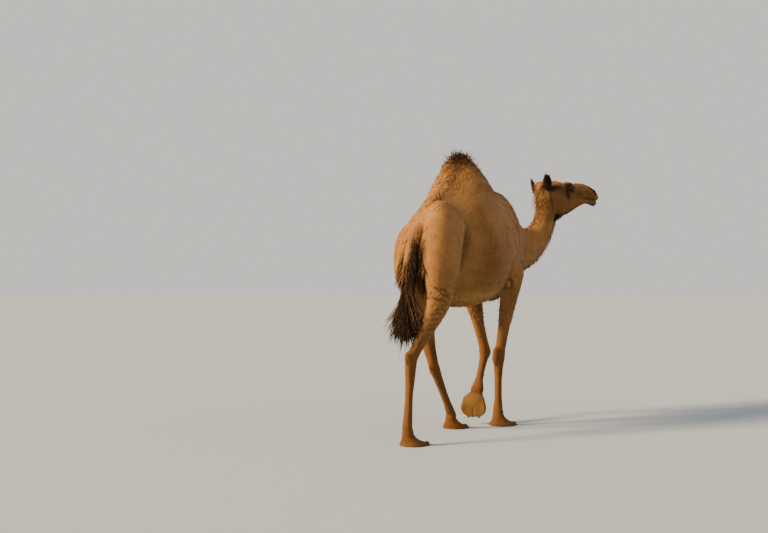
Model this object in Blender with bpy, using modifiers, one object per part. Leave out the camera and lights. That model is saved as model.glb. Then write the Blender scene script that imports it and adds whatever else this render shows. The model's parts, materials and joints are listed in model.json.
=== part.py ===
"""A dromedary camel in mid stride, life size: a still display model in named solid pieces.

Frame: +X ahead, +Y to the animal's left, +Z up, in metres. The landmarks below are given from
a point on the floor under the hip joints; at the end everything moves so that the origin is on
the floor under the middle of the model's box.

The flesh is a set of overlapping lofts and ellipsoids. They are fused with a voxel remesh,
smoothed and thinned, and the fused body is then parted into its named pieces by thin cuts.
"""

import math
from dataclasses import dataclass

import bmesh
import bpy
import numpy as np
from mathutils import Euler, Matrix, Vector

# ---------------------------------------------------------------- driving sizes, in metres
CUT = 0.0006  # width of the thin cuts that part the body
BODY_VOXEL = 0.012  # grain of the fused trunk and neck
HEAD_VOXEL = 0.0055
FOOT_VOXEL = 0.006
BODY_TRIANGLES = 3400  # before it is parted
HEAD_TRIANGLES = 1250
FOOT_TRIANGLES = 190
NECK_ROOT_X = 1.27  # where the neck is parted from the trunk
EYE_RADIUS = 0.023
HEAD_AT = Vector((1.735, -0.15, 1.955))  # joint of skull and neck
HEAD_YAW = -30.0  # degrees; it looks to its right
RING_POINTS = 28

# A leg's joints, as (ahead, out from the middle, up). The right hind pushes off, the left hind
# has just landed, the right fore carries weight and the left fore swings forward.
HIND_RIGHT = dict(
    hip=(-0.05, 0.14, 1.42), stifle=(-0.14, 0.165, 0.99), hock=(-0.405, 0.095, 0.60),
    fetlock=(-0.50, 0.125, 0.135), foot=(-0.42, 0.13, 0.0), toe_out=6.0, croup=(0.02, 0.125, 1.59),
)
HIND_LEFT = dict(
    hip=(-0.035, 0.135, 1.34), stifle=(0.12, 0.14, 0.95), hock=(0.165, 0.055, 0.50),
    fetlock=(0.435, 0.07, 0.135), foot=(0.53, 0.08, 0.0), toe_out=6.0, croup=(0.02, 0.085, 1.53),
)
FORE_RIGHT = dict(
    shoulder=(1.09, 0.17, 1.34), elbow=(0.978, 0.185, 1.13), knee=(0.849, 0.139, 0.55),
    fetlock=(0.817, 0.15, 0.130), foot=(0.885, 0.155, 0.0), toe_out=4.0,
)
FORE_LEFT = dict(
    shoulder=(1.09, 0.17, 1.34), elbow=(0.97, 0.185, 1.10), knee=(1.17, 0.16, 0.57),
    fetlock=(0.855, 0.06, 0.295), foot=(0.765, 0.05, 0.16), sole_back=88.0, toe_out=18.0,
    fetlock_width=1.3,
)


@dataclass
class Section:
    """A cross-section: its centre, how far it reaches to each side, and how peaked it is.

    `fore` is the reach along path x side (the back of the trunk, the nape of the neck, the
    front of a leg) and `aft` the reach the other way. A power of 2 is round, less is peaked.
    """

    at: tuple
    fore: float
    aft: float
    half: float
    fore_power: float = 2.0
    aft_power: float = 2.0

    def row(self):
        return [*self.at, self.fore, self.aft, self.half, self.fore_power, self.aft_power]


# ---------------------------------------------------------------- shape tools
def catmull_rom(rows, per_gap):
    """Rows of numbers joined by a smooth curve, with `per_gap` steps between two of them."""
    rows = np.array(rows, float)
    ends = np.vstack([2 * rows[0] - rows[1], rows, 2 * rows[-1] - rows[-2]])
    made = []
    for i in range(1, len(ends) - 2):
        p0, p1, p2, p3 = ends[i - 1 : i + 3]
        for t in np.arange(per_gap) / per_gap:
            made.append(
                0.5 * (2 * p1 + (p2 - p0) * t + (2 * p0 - 5 * p1 + 4 * p2 - p3) * t**2
                       + (3 * p1 - p0 - 3 * p2 + p3) * t**3)
            )
    made.append(ends[-2])
    return np.array(made)


def new_object(name, mesh):
    obj = bpy.data.objects.new(name, mesh)
    bpy.context.scene.collection.objects.link(obj)
    return obj


def object_of(name, bm):
    mesh = bpy.data.meshes.new(name)
    bm.to_mesh(mesh)
    bm.free()
    return new_object(name, mesh)


def loft(sections, per_gap=3, points=RING_POINTS, side=(0, 1, 0), facing=None):
    """A closed body through the sections.

    Each is square to the path of their centres, or all of them face the same way.
    """
    rows = catmull_rom([s.row() for s in sections], per_gap)
    along = np.gradient(rows[:, :3], axis=0)
    along /= np.linalg.norm(along, axis=1)[:, None]
    if facing:
        along[:] = facing
    bm = bmesh.new()
    rings = []
    for row, tangent in zip(rows, along):
        fore_axis = np.cross(tangent, side)
        fore_axis /= np.linalg.norm(fore_axis)
        side_axis = np.cross(fore_axis, tangent)
        _, _, _, fore, aft, half, fore_power, aft_power = row
        ring = []
        for k in range(points):
            turn = 2 * math.pi * k / points
            c, s = math.cos(turn), math.sin(turn)
            power, reach = (fore_power, fore) if s >= 0 else (aft_power, aft)
            across = half * math.copysign(abs(c) ** (2 / power), c)
            ahead = reach * math.copysign(abs(s) ** (2 / power), s)
            ring.append(bm.verts.new(row[:3] + across * side_axis + ahead * fore_axis))
        rings.append(ring)
    for a, b in zip(rings, rings[1:]):
        for k in range(points):
            bm.faces.new((a[k], a[(k + 1) % points], b[(k + 1) % points], b[k]))
    bm.faces.new(rings[0])
    bm.faces.new(rings[-1])
    bmesh.ops.triangulate(bm, faces=[f for f in bm.faces if len(f.verts) > 4])
    bmesh.ops.recalc_face_normals(bm, faces=bm.faces)
    return object_of("loft", bm)


def mass(at, radii, turn=(0, 0, 0), rings=14):
    """An ellipsoid with these three radii, turned by degrees about X, Y and Z."""
    bm = bmesh.new()
    spin = Euler([math.radians(a) for a in turn]).to_matrix().to_4x4()
    place = Matrix.Translation(at) @ spin @ Matrix.Diagonal((*radii, 1))
    bmesh.ops.create_uvsphere(bm, u_segments=2 * rings, v_segments=rings, radius=1, matrix=place)
    return object_of("mass", bm)


def placed(obj, place):
    """The object with the matrix put into its mesh."""
    obj.data.transform(place)
    return obj


def block(low, high, place=Matrix.Identity(4)):
    """A box between two corners, then placed by a matrix. It serves as a cutter."""
    low, high = Vector(low), Vector(high)
    bm = bmesh.new()
    size = Matrix.Diagonal((*(high - low), 1))
    bmesh.ops.create_cube(bm, size=1, matrix=place @ Matrix.Translation((low + high) / 2) @ size)
    return object_of("block", bm)


def baked(obj):
    """The object with its modifiers made real."""
    graph = bpy.context.evaluated_depsgraph_get()
    graph.update()
    mesh = bpy.data.meshes.new_from_object(obj.evaluated_get(graph))
    obj.modifiers.clear()
    obj.data = mesh
    return obj


def fuse(shapes, voxel, smooth, triangles, blend=0, heights=(0, 0, 0, 0)):
    """Overlapping closed shapes made one smooth closed body of about that many triangles.

    `blend` more rounds of smoothing act on a band of heights: they fade in between the first
    two of `heights` and out between the last two.
    """
    bm = bmesh.new()
    for shape in shapes:
        copy = shape.data.copy()
        copy.transform(shape.matrix_world)
        bm.from_mesh(copy)
        bpy.data.objects.remove(shape)
    fused = object_of("fused", bm)
    remesh = fused.modifiers.new("remesh", "REMESH")
    remesh.mode = "VOXEL"
    remesh.voxel_size = voxel
    relax = fused.modifiers.new("smooth", "SMOOTH")
    relax.factor = 0.5
    relax.iterations = smooth
    baked(fused)
    if blend:
        group = fused.vertex_groups.new(name="band")
        for vert in fused.data.vertices:
            group.add([vert.index], np.interp(vert.co.z, heights, (0, 1, 1, 0)), "REPLACE")
        melt = fused.modifiers.new("melt", "SMOOTH")
        melt.factor = 0.5
        melt.iterations = blend
        melt.vertex_group = group.name
        baked(fused)
    count = sum(len(p.vertices) - 2 for p in fused.data.polygons)
    thin = fused.modifiers.new("thin", "DECIMATE")
    thin.ratio = triangles / count
    return baked(fused)


def boolean(obj, other, operation, keep_other=False):
    step = obj.modifiers.new("cut", "BOOLEAN")
    step.operation = operation
    step.object = other
    bpy.context.view_layer.update()
    baked(obj)
    if not keep_other:
        bpy.data.objects.remove(other)
    return obj


def copy_of(obj):
    return new_object(obj.name, obj.data.copy())


def part_off(body, low, high, place=Matrix.Identity(4)):
    """Parts what lies in the box off the body, with a thin cut between, and returns it."""
    gap = Vector((CUT, CUT, CUT))
    piece = boolean(copy_of(body), block(low, high, place), "INTERSECT")
    boolean(body, block(Vector(low) - gap, Vector(high) + gap, place), "DIFFERENCE")
    return piece


def keep_side(obj, point, normal):
    """Cuts the object at a plane, keeps the side that the normal points to and closes it."""
    bm = bmesh.new()
    bm.from_mesh(obj.data)
    bmesh.ops.bisect_plane(
        bm, geom=bm.verts[:] + bm.edges[:] + bm.faces[:], dist=1e-6,
        plane_co=point, plane_no=normal, clear_inner=True,
    )
    bmesh.ops.holes_fill(bm, edges=[e for e in bm.edges if e.is_boundary], sides=0)
    bmesh.ops.triangulate(bm, faces=[f for f in bm.faces if len(f.verts) > 4])
    bmesh.ops.recalc_face_normals(bm, faces=bm.faces)
    bm.to_mesh(obj.data)
    bm.free()
    return obj


def mirrored(point, side):
    """A joint given as (ahead, out, up), on that side: -1 is the animal's right."""
    return (point[0], side * point[1], point[2])


# ---------------------------------------------------------------- trunk and neck
def trunk_section(x, top, bottom, half, widest, peak=2.0, keel=2.0):
    return Section((x, 0, widest), top - widest, widest - bottom, half, peak, keel)


def trunk_shapes():
    """Barrel with the hump on its back, from the pin bones to the root of the neck."""
    barrel = loft([
        trunk_section(-0.25, 1.35, 1.25, 0.05, 1.30),
        trunk_section(-0.20, 1.47, 1.18, 0.10, 1.34),
        trunk_section(-0.14, 1.60, 1.13, 0.135, 1.38),
        trunk_section(-0.07, 1.71, 1.09, 0.165, 1.40),
        trunk_section(0.02, 1.80, 1.06, 0.20, 1.40, 1.9),
        trunk_section(0.11, 1.865, 1.03, 0.24, 1.38, 1.88),
        trunk_section(0.20, 1.935, 1.00, 0.285, 1.34, 1.84),
        trunk_section(0.29, 2.045, 0.985, 0.325, 1.32, 1.76),
        trunk_section(0.37, 2.135, 0.975, 0.345, 1.32, 1.70),
        trunk_section(0.45, 2.170, 0.97, 0.355, 1.32, 1.68),
        trunk_section(0.54, 2.150, 0.975, 0.353, 1.33, 1.70),
        trunk_section(0.64, 2.090, 0.985, 0.342, 1.34, 1.74),
        trunk_section(0.74, 2.005, 1.00, 0.324, 1.36, 1.80),
        trunk_section(0.84, 1.945, 1.02, 0.300, 1.38, 1.86),
        trunk_section(0.95, 1.925, 1.045, 0.270, 1.40, 1.9),
        trunk_section(1.06, 1.915, 1.09, 0.240, 1.42, 1.9),
        trunk_section(1.17, 1.870, 1.15, 0.200, 1.43, 1.9),
        trunk_section(1.27, 1.790, 1.22, 0.155, 1.44, 1.9),
        trunk_section(1.36, 1.700, 1.28, 0.105, 1.46, 2.0),
    ], facing=(1, 0, 0))
    crest = mass((0.455, 0, 2.13), (0.075, 0.035, 0.055))  # the hump's tuft of long hair
    pad = mass((0.96, 0, 1.05), (0.12, 0.09, 0.045), (0, -8, 0))  # callus under the breast
    udder = mass((0.03, 0, 1.08), (0.10, 0.07, 0.06))
    return [barrel, crest, pad, udder]


def neck_shapes():
    """The neck dips ahead of the breast, then rises and turns to the animal's right."""
    neck = loft([
        Section((1.00, 0, 1.50), 0.29, 0.34, 0.17, 1.8),
        Section((1.16, 0, 1.47), 0.32, 0.29, 0.155, 1.8),
        Section((1.31, -0.015, 1.45), 0.265, 0.22, 0.135, 1.9),
        Section((1.46, -0.04, 1.445), 0.19, 0.175, 0.118),
        Section((1.60, -0.075, 1.505), 0.148, 0.15, 0.105),
        Section((1.685, -0.105, 1.60), 0.128, 0.135, 0.096),
        Section((1.725, -0.125, 1.70), 0.120, 0.125, 0.091),
        Section((1.735, -0.14, 1.80), 0.118, 0.12, 0.088),
        Section((1.735, -0.15, 1.90), 0.132, 0.12, 0.092),
        Section((1.74, -0.158, 1.985), 0.118, 0.09, 0.088),
    ])
    poll = placed(mass((-0.058, 0.008, 0.045), (0.050, 0.062, 0.050)), head_place())
    return [neck, poll]


# ---------------------------------------------------------------- legs
def between(a, b, t):
    return tuple(Vector(a).lerp(Vector(b), t))


def pastern_point(place, fetlock, share, up):
    """A point of the pastern at this height over the sole, this share of the way to the fetlock."""
    ahead, aside, _ = place.inverted() @ Vector(fetlock)
    return tuple(place @ Vector((max(ahead, -0.10) * share, aside * share, up)))


def pastern_end(joints, side):
    place = foot_place(joints, side)
    return pastern_point(place, mirrored(joints["fetlock"], side), 0.72, 0.055)


def hind_leg_sections(side, joints):
    """Thigh, gaskin and cannon bone, from above the hip down to the pastern."""
    hip, stifle, hock, fetlock = (
        mirrored(joints[k], side) for k in ("hip", "stifle", "hock", "fetlock")
    )
    return [
        Section((hip[0] + 0.02, hip[1] - side * 0.03, hip[2] + 0.24), 0.145, 0.12, 0.085),
        Section((hip[0] + 0.01, hip[1], hip[2] + 0.11), 0.190, 0.175, 0.115),
        Section(between(hip, stifle, 0.10), 0.200, 0.190, 0.128),
        Section(between(hip, stifle, 0.40), 0.180, 0.190, 0.124),
        Section(between(hip, stifle, 0.70), 0.145, 0.160, 0.104),
        Section(between(hip, stifle, 0.97), 0.105, 0.130, 0.080),
        Section(between(stifle, hock, 0.30), 0.075, 0.095, 0.064),
        Section(between(stifle, hock, 0.62), 0.050, 0.065, 0.046),
        Section(between(stifle, hock, 0.86), 0.042, 0.056, 0.038),
        Section(hock, 0.045, 0.052, 0.043),
        Section(between(hock, fetlock, 0.18), 0.037, 0.042, 0.037),
        Section(between(hock, fetlock, 0.42), 0.032, 0.034, 0.030),
        Section(between(hock, fetlock, 0.75), 0.030, 0.033, 0.029),
        Section(fetlock, 0.038, 0.042, 0.039),
        Section(between(fetlock, pastern_end(joints, side), 0.8), 0.044, 0.046, 0.046),
    ]


def fore_leg_sections(side, joints):
    """Forearm and cannon bone, from the elbow down to the pastern."""
    shoulder, elbow, knee, fetlock = (
        mirrored(joints[k], side) for k in ("shoulder", "elbow", "knee", "fetlock")
    )
    hairy = joints.get("fetlock_width", 1.0)
    return [
        Section(between(shoulder, elbow, 0.3), 0.12, 0.13, 0.085),
        Section(between(shoulder, elbow, 0.75), 0.110, 0.12, 0.085),
        Section(between(elbow, knee, 0.06), 0.092, 0.100, 0.078),
        Section(between(elbow, knee, 0.30), 0.072, 0.086, 0.060),
        Section(between(elbow, knee, 0.60), 0.050, 0.060, 0.045),
        Section(between(elbow, knee, 0.86), 0.046, 0.043, 0.044),
        Section(knee, 0.054, 0.044, 0.050),
        Section(between(knee, fetlock, 0.16), 0.040, 0.042, 0.040),
        Section(between(knee, fetlock, 0.42), 0.031, 0.036, 0.031),
        Section(between(knee, fetlock, 0.76), 0.030, 0.034, 0.031),
        Section(fetlock, 0.039, 0.044, 0.043 * hairy),
        Section(between(fetlock, pastern_end(joints, side), 0.8), 0.044, 0.046, 0.046 * hairy),
    ]


def haunch_shapes(side, joints):
    hip = Vector(mirrored(joints["hip"], side))
    croup = mass(mirrored(joints["croup"], side), (0.155, 0.105, 0.20), (side * 14, -14, 0))
    buttock = mass(hip + Vector((-0.11, side * -0.035, -0.04)), (0.10, 0.09, 0.19), (0, 10, 0))
    return [croup, buttock]


def shoulder_shapes(side, joints):
    shoulder = Vector(mirrored(joints["shoulder"], side))
    blade = mass(shoulder + Vector((-0.12, side * -0.015, 0.16)), (0.14, 0.075, 0.30), (side * 7, 17, 0))
    point = mass(shoulder + Vector((0.01, side * -0.02, -0.03)), (0.12, 0.09, 0.13))
    arm = mass(shoulder + Vector((-0.14, 0, -0.13)), (0.15, 0.085, 0.15), (0, 20, 0))
    return [blade, point, arm]


def foot_place(joints, side):
    """Matrix of a foot's own frame (x to the toes, z up, origin at the sole's middle)."""
    turn = Matrix.Rotation(math.radians(side * joints["toe_out"]), 4, "Z")
    tip = Matrix.Rotation(math.radians(joints.get("sole_back", 0.0)), 4, "Y")
    return Matrix.Translation(mirrored(joints["foot"], side)) @ turn @ tip


def foot_shapes(place, fetlock, spread):
    """Broad pad with two toes in front, under a pastern that widens down to it."""
    along, across = spread
    turn = place.to_3x3()

    def pad(centre, radii, turn=(0, 0, 0)):
        x, y, z = radii
        return placed(mass(centre, (x * along, y * across, z), turn), place)

    toes = [
        pad((0.034 * along, side * 0.048 * across, 0.004), (0.087, 0.060, 0.030), (0, 10, 0))
        for side in (-1, 1)
    ]
    heel = pad((-0.034 * along, 0, 0.008), (0.082, 0.104, 0.030))
    rows = (  # share of the way to the fetlock, height, reach to the front and back, half width
        (0.95, 0.090, 0.045, 0.046, 0.046), (0.72, 0.055, 0.064, 0.060, 0.062),
        (0.46, 0.030, 0.090, 0.078, 0.084), (0.16, 0.012, 0.110, 0.098, 0.102),
    )
    pastern = loft([
        Section(fetlock, 0.038, 0.042, 0.042),
        *(Section(pastern_point(place, fetlock, share, up), front * along, back * along, half * across)
          for share, up, front, back, half in rows),
    ], side=tuple(turn @ Vector((0, 1, 0))), facing=tuple(turn @ Vector((0, 0, -1))))
    return [*toes, heel, pastern]


def nail_shape(place, side, spread):
    """A short blunt nail on the front of a toe."""
    at = (0.108 * spread[0], side * 0.046 * spread[1], 0.013)
    return placed(mass(at, (0.020, 0.016, 0.009), (0, 32, 0), rings=5), place)


# ---------------------------------------------------------------- head
def head_place():
    return Matrix.Translation(HEAD_AT) @ Matrix.Rotation(math.radians(HEAD_YAW), 4, "Z")


def head_section(x, top, bottom, half, widest, power=2.0):
    return Section((x, 0, widest), top - widest, widest - bottom, half, power, power)


def head_shapes():
    """Skull, muzzle and jaw, in the head's own frame: x to the nose, z up."""
    skull = loft([
        head_section(-0.060, 0.060, -0.05, 0.056, 0.00),
        head_section(0.010, 0.088, -0.08, 0.078, 0.02),
        head_section(0.065, 0.105, -0.08, 0.090, 0.03),
        head_section(0.125, 0.096, -0.07, 0.098, 0.03),
        head_section(0.190, 0.085, -0.06, 0.092, 0.03),
        head_section(0.250, 0.087, -0.055, 0.070, 0.02),
        head_section(0.325, 0.094, -0.05, 0.058, 0.02, 1.9),
        head_section(0.400, 0.087, -0.048, 0.054, 0.02, 1.9),
        head_section(0.448, 0.065, -0.050, 0.057, 0.008),
        head_section(0.495, 0.030, -0.052, 0.053, -0.010),
        head_section(0.530, -0.002, -0.052, 0.041, -0.024),
        head_section(0.547, -0.022, -0.046, 0.021, -0.033),
    ])
    jaw = loft([
        head_section(0.025, -0.02, -0.165, 0.058, -0.09),
        head_section(0.085, -0.02, -0.203, 0.066, -0.10),
        head_section(0.160, -0.02, -0.205, 0.060, -0.10),
        head_section(0.235, -0.02, -0.173, 0.050, -0.09),
        head_section(0.320, -0.03, -0.125, 0.043, -0.075),
        head_section(0.400, -0.040, -0.092, 0.040, -0.066),
        head_section(0.455, -0.044, -0.094, 0.038, -0.070),
        head_section(0.500, -0.050, -0.108, 0.036, -0.080),
        head_section(0.530, -0.064, -0.096, 0.020, -0.082),
    ])
    beard = mass((0.10, 0, -0.205), (0.055, 0.03, 0.03))
    shapes = [skull, jaw, beard]
    for side in (-1, 1):
        shapes += [
            mass((0.10, side * 0.055, -0.085), (0.085, 0.034, 0.090)),  # chewing muscle
            mass((0.165, side * 0.078, 0.020), (0.075, 0.024, 0.022), (0, 8, side * 8)),  # cheekbone
            mass((0.165, side * 0.070, 0.070), (0.055, 0.034, 0.022), (0, 0, side * 10)),  # brow
            mass((0.470, side * 0.036, 0.012), (0.048, 0.024, 0.028), (0, 30, 0)),  # nostril
            mass((0.512, side * 0.020, -0.032), (0.031, 0.030, 0.025)),  # upper lip
        ]
    return shapes


def eye_place(side):
    return Vector((0.190, side * 0.085, 0.038))


def ear_shape(side):
    """A short upright cup, open to the outside. The left ear is turned further back."""
    if side < 0:
        base, tip, across = (-0.040, -0.078, 0.010), (-0.094, -0.114, 0.138), (0.77, 0, 0.64)
    else:
        base, tip, across = (-0.084, 0.064, 0.000), (-0.100, 0.092, 0.118), (0.55, 0.62, 0.15)
    axis = (Vector(tip) - Vector(base)).normalized()
    opening = axis.cross(Vector(across)).normalized()
    if opening.y * side < 0:
        opening.negate()
    widths = ((0.0, 0.019, 0.019), (0.25, 0.032, 0.021), (0.55, 0.036, 0.018), (0.82, 0.026, 0.012))
    sections = [Section(between(base, tip, t), thick, thick, half) for t, half, thick in widths]
    sections.append(Section(tip, 0.004, 0.004, 0.006))
    ear = loft(sections, per_gap=2, points=12, side=across)
    turn = Matrix((opening.cross(axis), opening, axis)).transposed().to_4x4()
    middle = Vector(between(base, tip, 0.60)) + 0.017 * opening
    hollow = placed(mass((0, 0, 0), (0.024, 0.011, 0.048), rings=6), Matrix.Translation(middle) @ turn)
    return boolean(ear, hollow, "DIFFERENCE")


# ---------------------------------------------------------------- tail
def tail_shapes():
    """The dock with its side fringe, and the long brush of hair below it."""
    dock = loft([
        Section((-0.09, 0, 1.585), 0.035, 0.040, 0.045),
        Section((-0.175, 0, 1.555), 0.034, 0.036, 0.046),
        Section((-0.245, 0, 1.470), 0.030, 0.030, 0.046),
        Section((-0.290, 0, 1.340), 0.027, 0.028, 0.047),
        Section((-0.312, -0.004, 1.205), 0.028, 0.030, 0.050),
    ], points=14)
    brush = loft([
        Section((-0.312, -0.004, 1.215), 0.027, 0.029, 0.048),
        Section((-0.330, -0.008, 1.09), 0.034, 0.036, 0.062),
        Section((-0.345, -0.012, 0.97), 0.042, 0.042, 0.076),
        Section((-0.342, -0.014, 0.86), 0.040, 0.040, 0.070),
        Section((-0.335, -0.012, 0.78), 0.026, 0.026, 0.044),
        Section((-0.332, -0.010, 0.735), 0.008, 0.008, 0.014),
    ], per_gap=2, points=14)
    return dock, brush


# ---------------------------------------------------------------- parting and finishing
LEGS = {
    "hind_right": (-1, HIND_RIGHT), "hind_left": (1, HIND_LEFT),
    "fore_right": (-1, FORE_RIGHT), "fore_left": (1, FORE_LEFT),
}
# Where a leg leaves the trunk: a point of the cutting plane, its slope in degrees (down towards
# the front), and how far out from the middle the cut begins.
LEG_ROOTS = {
    "hind_right": ((-0.14, 1.125), 33.0, 0.004), "hind_left": ((0.07, 1.030), 17.0, 0.004),
    "fore_right": ((0.965, 0.995), -17.0, 0.004), "fore_left": ((0.965, 0.995), -17.0, 0.004),
}
ABOVE_JOINT = 0.075  # height of the cut above the hock or knee
PASTERN_CUT = 0.10  # height of the cut above a planted foot's sole
FORE_PAD, HIND_PAD, RAISED_PAD = (1.0, 1.0), (0.93, 0.93), (0.84, 0.93)  # along, across
HEAD_CUT_POINT = Vector((-0.070, 0, 0.05))  # in the head's own frame
HEAD_CUT_NORMAL = Vector((0.945, 0, 0.326))


def main_body(obj):
    """The object without scraps that a cut left loose."""
    bm = bmesh.new()
    bm.from_mesh(obj.data)
    left = set(bm.verts)
    bodies = []
    while left:
        start = left.pop()
        body, edge_of_body = {start}, [start]
        while edge_of_body:
            vert = edge_of_body.pop()
            for edge in vert.link_edges:
                other = edge.other_vert(vert)
                if other in left:
                    left.remove(other)
                    body.add(other)
                    edge_of_body.append(other)
        bodies.append(body)
    bodies.sort(key=len)
    for scrap in bodies[:-1]:
        bmesh.ops.delete(bm, geom=list(scrap), context="VERTS")
    bm.to_mesh(obj.data)
    bm.free()
    return obj


def swollen(obj, by):
    """A copy of the object whose surface stands out by this much, as a cutter."""
    cutter = copy_of(obj)
    grow = cutter.modifiers.new("grow", "DISPLACE")
    grow.strength = by
    grow.mid_level = 0
    return baked(cutter)


def seated(piece, host):
    """Cuts the host's shape, with a hairline gap, out of the piece that grows from it."""
    boolean(piece, swollen(host, CUT), "DIFFERENCE")
    return main_body(piece)


def let_in(host, piece):
    """Cuts a seat for the piece into its host, with a hairline gap."""
    boolean(host, swollen(piece, CUT), "DIFFERENCE")
    return main_body(host)


def part_leg(body, name):
    """Parts one leg off the body, and then its lower half off the leg."""
    side, joints = LEGS[name]
    (x, z), slope, inner = LEG_ROOTS[name]
    place = Matrix.Translation((x, 0, z)) @ Matrix.Rotation(math.radians(slope), 4, "Y")
    low, high = sorted((side * inner, side * 0.7))
    upper = main_body(part_off(body, (-0.9, low, -1.7), (0.9, high, 0), place))
    main_body(body)
    joint = joints["hock" if "hock" in joints else "knee"]
    lower = main_body(part_off(upper, (-2, -2, -1), (2, 2, joint[2] + ABOVE_JOINT)))
    return main_body(upper), lower


def make_foot(name, lower):
    """A foot with its two nails; the leg's lower half is cut to meet it."""
    side, joints = LEGS[name]
    place = foot_place(joints, side)
    fetlock = Vector(mirrored(joints["fetlock"], side))
    if "sole_back" in joints:
        normal = (fetlock - place @ Vector((0, 0, 0.05))).normalized()
        point = fetlock - 0.04 * normal
        spread = RAISED_PAD
    else:
        normal = Vector((0, 0, 1))
        point = fetlock.copy()
        point.z = PASTERN_CUT
        spread = HIND_PAD if "hock" in joints else FORE_PAD
    foot = fuse(foot_shapes(place, tuple(fetlock), spread), FOOT_VOXEL, 3, FOOT_TRIANGLES)
    keep_side(foot, place @ Vector((0, 0, 0)), place.to_3x3() @ Vector((0, 0, 1)))
    keep_side(foot, point, -normal)
    keep_side(lower, point + CUT * normal, normal)
    nails = [nail_shape(place, k, spread) for k in (-1, 1)]
    for nail in nails:
        let_in(foot, nail)
    return main_body(foot), main_body(lower), nails


def make_head():
    place = head_place()
    shapes = [placed(shape, place) for shape in head_shapes()] + neck_shapes()
    head = fuse(shapes, HEAD_VOXEL, 2, HEAD_TRIANGLES)
    turn = place.to_3x3()
    keep_side(head, place @ HEAD_CUT_POINT, turn @ HEAD_CUT_NORMAL)
    parts = {}
    for word, side in (("right", -1), ("left", 1)):
        eye = placed(mass(eye_place(side), (EYE_RADIUS,) * 3, rings=7), place)
        let_in(head, eye)
        parts["eye_" + word] = eye
        parts["ear_" + word] = seated(placed(ear_shape(side), place), head)
    parts["head"] = main_body(head)
    return parts


def make_body():
    """Trunk, neck, legs and feet from one fused body."""
    shapes = trunk_shapes() + neck_shapes()
    for side, joints in LEGS.values():
        if "hock" in joints:
            shapes.append(loft(hind_leg_sections(side, joints), points=20))
            shapes.append(mass(  # point of the hock
                Vector(mirrored(joints["hock"], side)) + Vector((-0.052, 0, 0.035)),
                (0.024, 0.020, 0.048), (0, 22, 0)))
            shapes += haunch_shapes(side, joints)
        else:
            shapes.append(loft(fore_leg_sections(side, joints), points=20))
            shapes.append(mass(  # the bone that stands out behind the knee
                Vector(mirrored(joints["knee"], side)) + Vector((-0.048, 0, 0.020)),
                (0.036, 0.030, 0.080), (0, 6, 0)))
            shapes += shoulder_shapes(side, joints)
    body = fuse(
        shapes, BODY_VOXEL, 3, BODY_TRIANGLES, blend=20, heights=(0.98, 1.20, 1.66, 1.86)
    )
    parts = {}
    for name in LEGS:
        upper, lower = part_leg(body, name)
        foot, lower, nails = make_foot(name, lower)
        parts[f"leg_{name}_upper"] = upper
        parts[f"leg_{name}_lower"] = lower
        parts[f"foot_{name}"] = foot
        for k, nail in enumerate(nails):
            parts[f"nail_{name}_{k + 1}"] = nail
    neck = part_off(body, (NECK_ROOT_X, -1, 0.5), (3, 1, 3))
    place = head_place()
    turn = place.to_3x3()
    normal = turn @ HEAD_CUT_NORMAL
    keep_side(neck, place @ HEAD_CUT_POINT - CUT * normal, -normal)
    parts["neck"] = main_body(neck)
    parts["trunk"] = main_body(body)
    return parts


COATS = {  # sRGB colour and roughness of each kind of piece
    "trunk": ("#7f5128", 0.85), "neck": ("#8b5e32", 0.85), "head": ("#754b1f", 0.8),
    "ear": ("#3a2012", 0.85), "eye": ("#1c0f06", 0.1), "tail": ("#a8763f", 0.85),
    "tail_brush": ("#21170d", 0.7), "leg": ("#7a4d1c", 0.85), "foot": ("#6e4a20", 0.9),
    "nail": ("#3a2c1c", 0.5),
}


def linear(hex_colour):
    channels = [int(hex_colour[i : i + 2], 16) / 255 for i in (1, 3, 5)]
    return [c / 12.92 if c <= 0.04045 else ((c + 0.055) / 1.055) ** 2.4 for c in channels] + [1]


def finish(name, obj, collection, shift):
    """Names the piece, places it in the part's frame and gives it its material."""
    obj.name = name
    obj.data.name = name
    obj.data.transform(Matrix.Translation(shift))
    for holder in list(obj.users_collection):
        holder.objects.unlink(obj)
    collection.objects.link(obj)
    colour, roughness = COATS[name if name in COATS else name.split("_")[0]]
    material = bpy.data.materials.new(name)
    material.use_nodes = True
    shader = material.node_tree.nodes["Principled BSDF"]
    shader.inputs["Base Color"].default_value = linear(colour)
    shader.inputs["Roughness"].default_value = roughness
    obj.data.materials.clear()
    obj.data.materials.append(material)
    obj.data.shade_smooth()


def main():
    for obj in list(bpy.data.objects):
        bpy.data.objects.remove(obj)
    parts = make_body()
    parts.update(make_head())
    for ear in ("ear_right", "ear_left"):
        seated(parts[ear], parts["neck"])
    dock, brush = tail_shapes()
    parts["tail"] = seated(dock, parts["trunk"])
    parts["tail_brush"] = seated(brush, parts["tail"])
    corners = np.array([v.co for obj in parts.values() for v in obj.data.vertices])
    low, high = corners.min(axis=0), corners.max(axis=0)
    shift = Vector((-(low[0] + high[0]) / 2, -(low[1] + high[1]) / 2, -low[2]))
    collection = bpy.data.collections.new("dromedary")
    bpy.context.scene.collection.children.link(collection)
    for name, obj in parts.items():
        finish(name, obj, collection, shift)


main()
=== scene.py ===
"""A dromedary camel in mid stride: one skin, its coat and long hair, its eyes and its nails.

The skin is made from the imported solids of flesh. They are melted into one body, finer at the
head, and then sculpted with strokes: swellings, hollows and creases that each have a place and a
size. The coat is seeded locks of hair that grow from that skin and carry its markings.

Landmarks are in the walker's frame (metres; +X ahead, +Y to the animal's left, +Z up, from the
floor under its hips) or in the head's own frame (+X to the nose). Both are found from the eyes.
"""

import json
import logging
import math
from collections.abc import Callable, Iterator, Sequence
from dataclasses import dataclass, field
from enum import Enum

import bpy
import numpy as np
from mathutils import Euler, Matrix, Vector, noise
from mathutils.bvhtree import BVHTree

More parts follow.
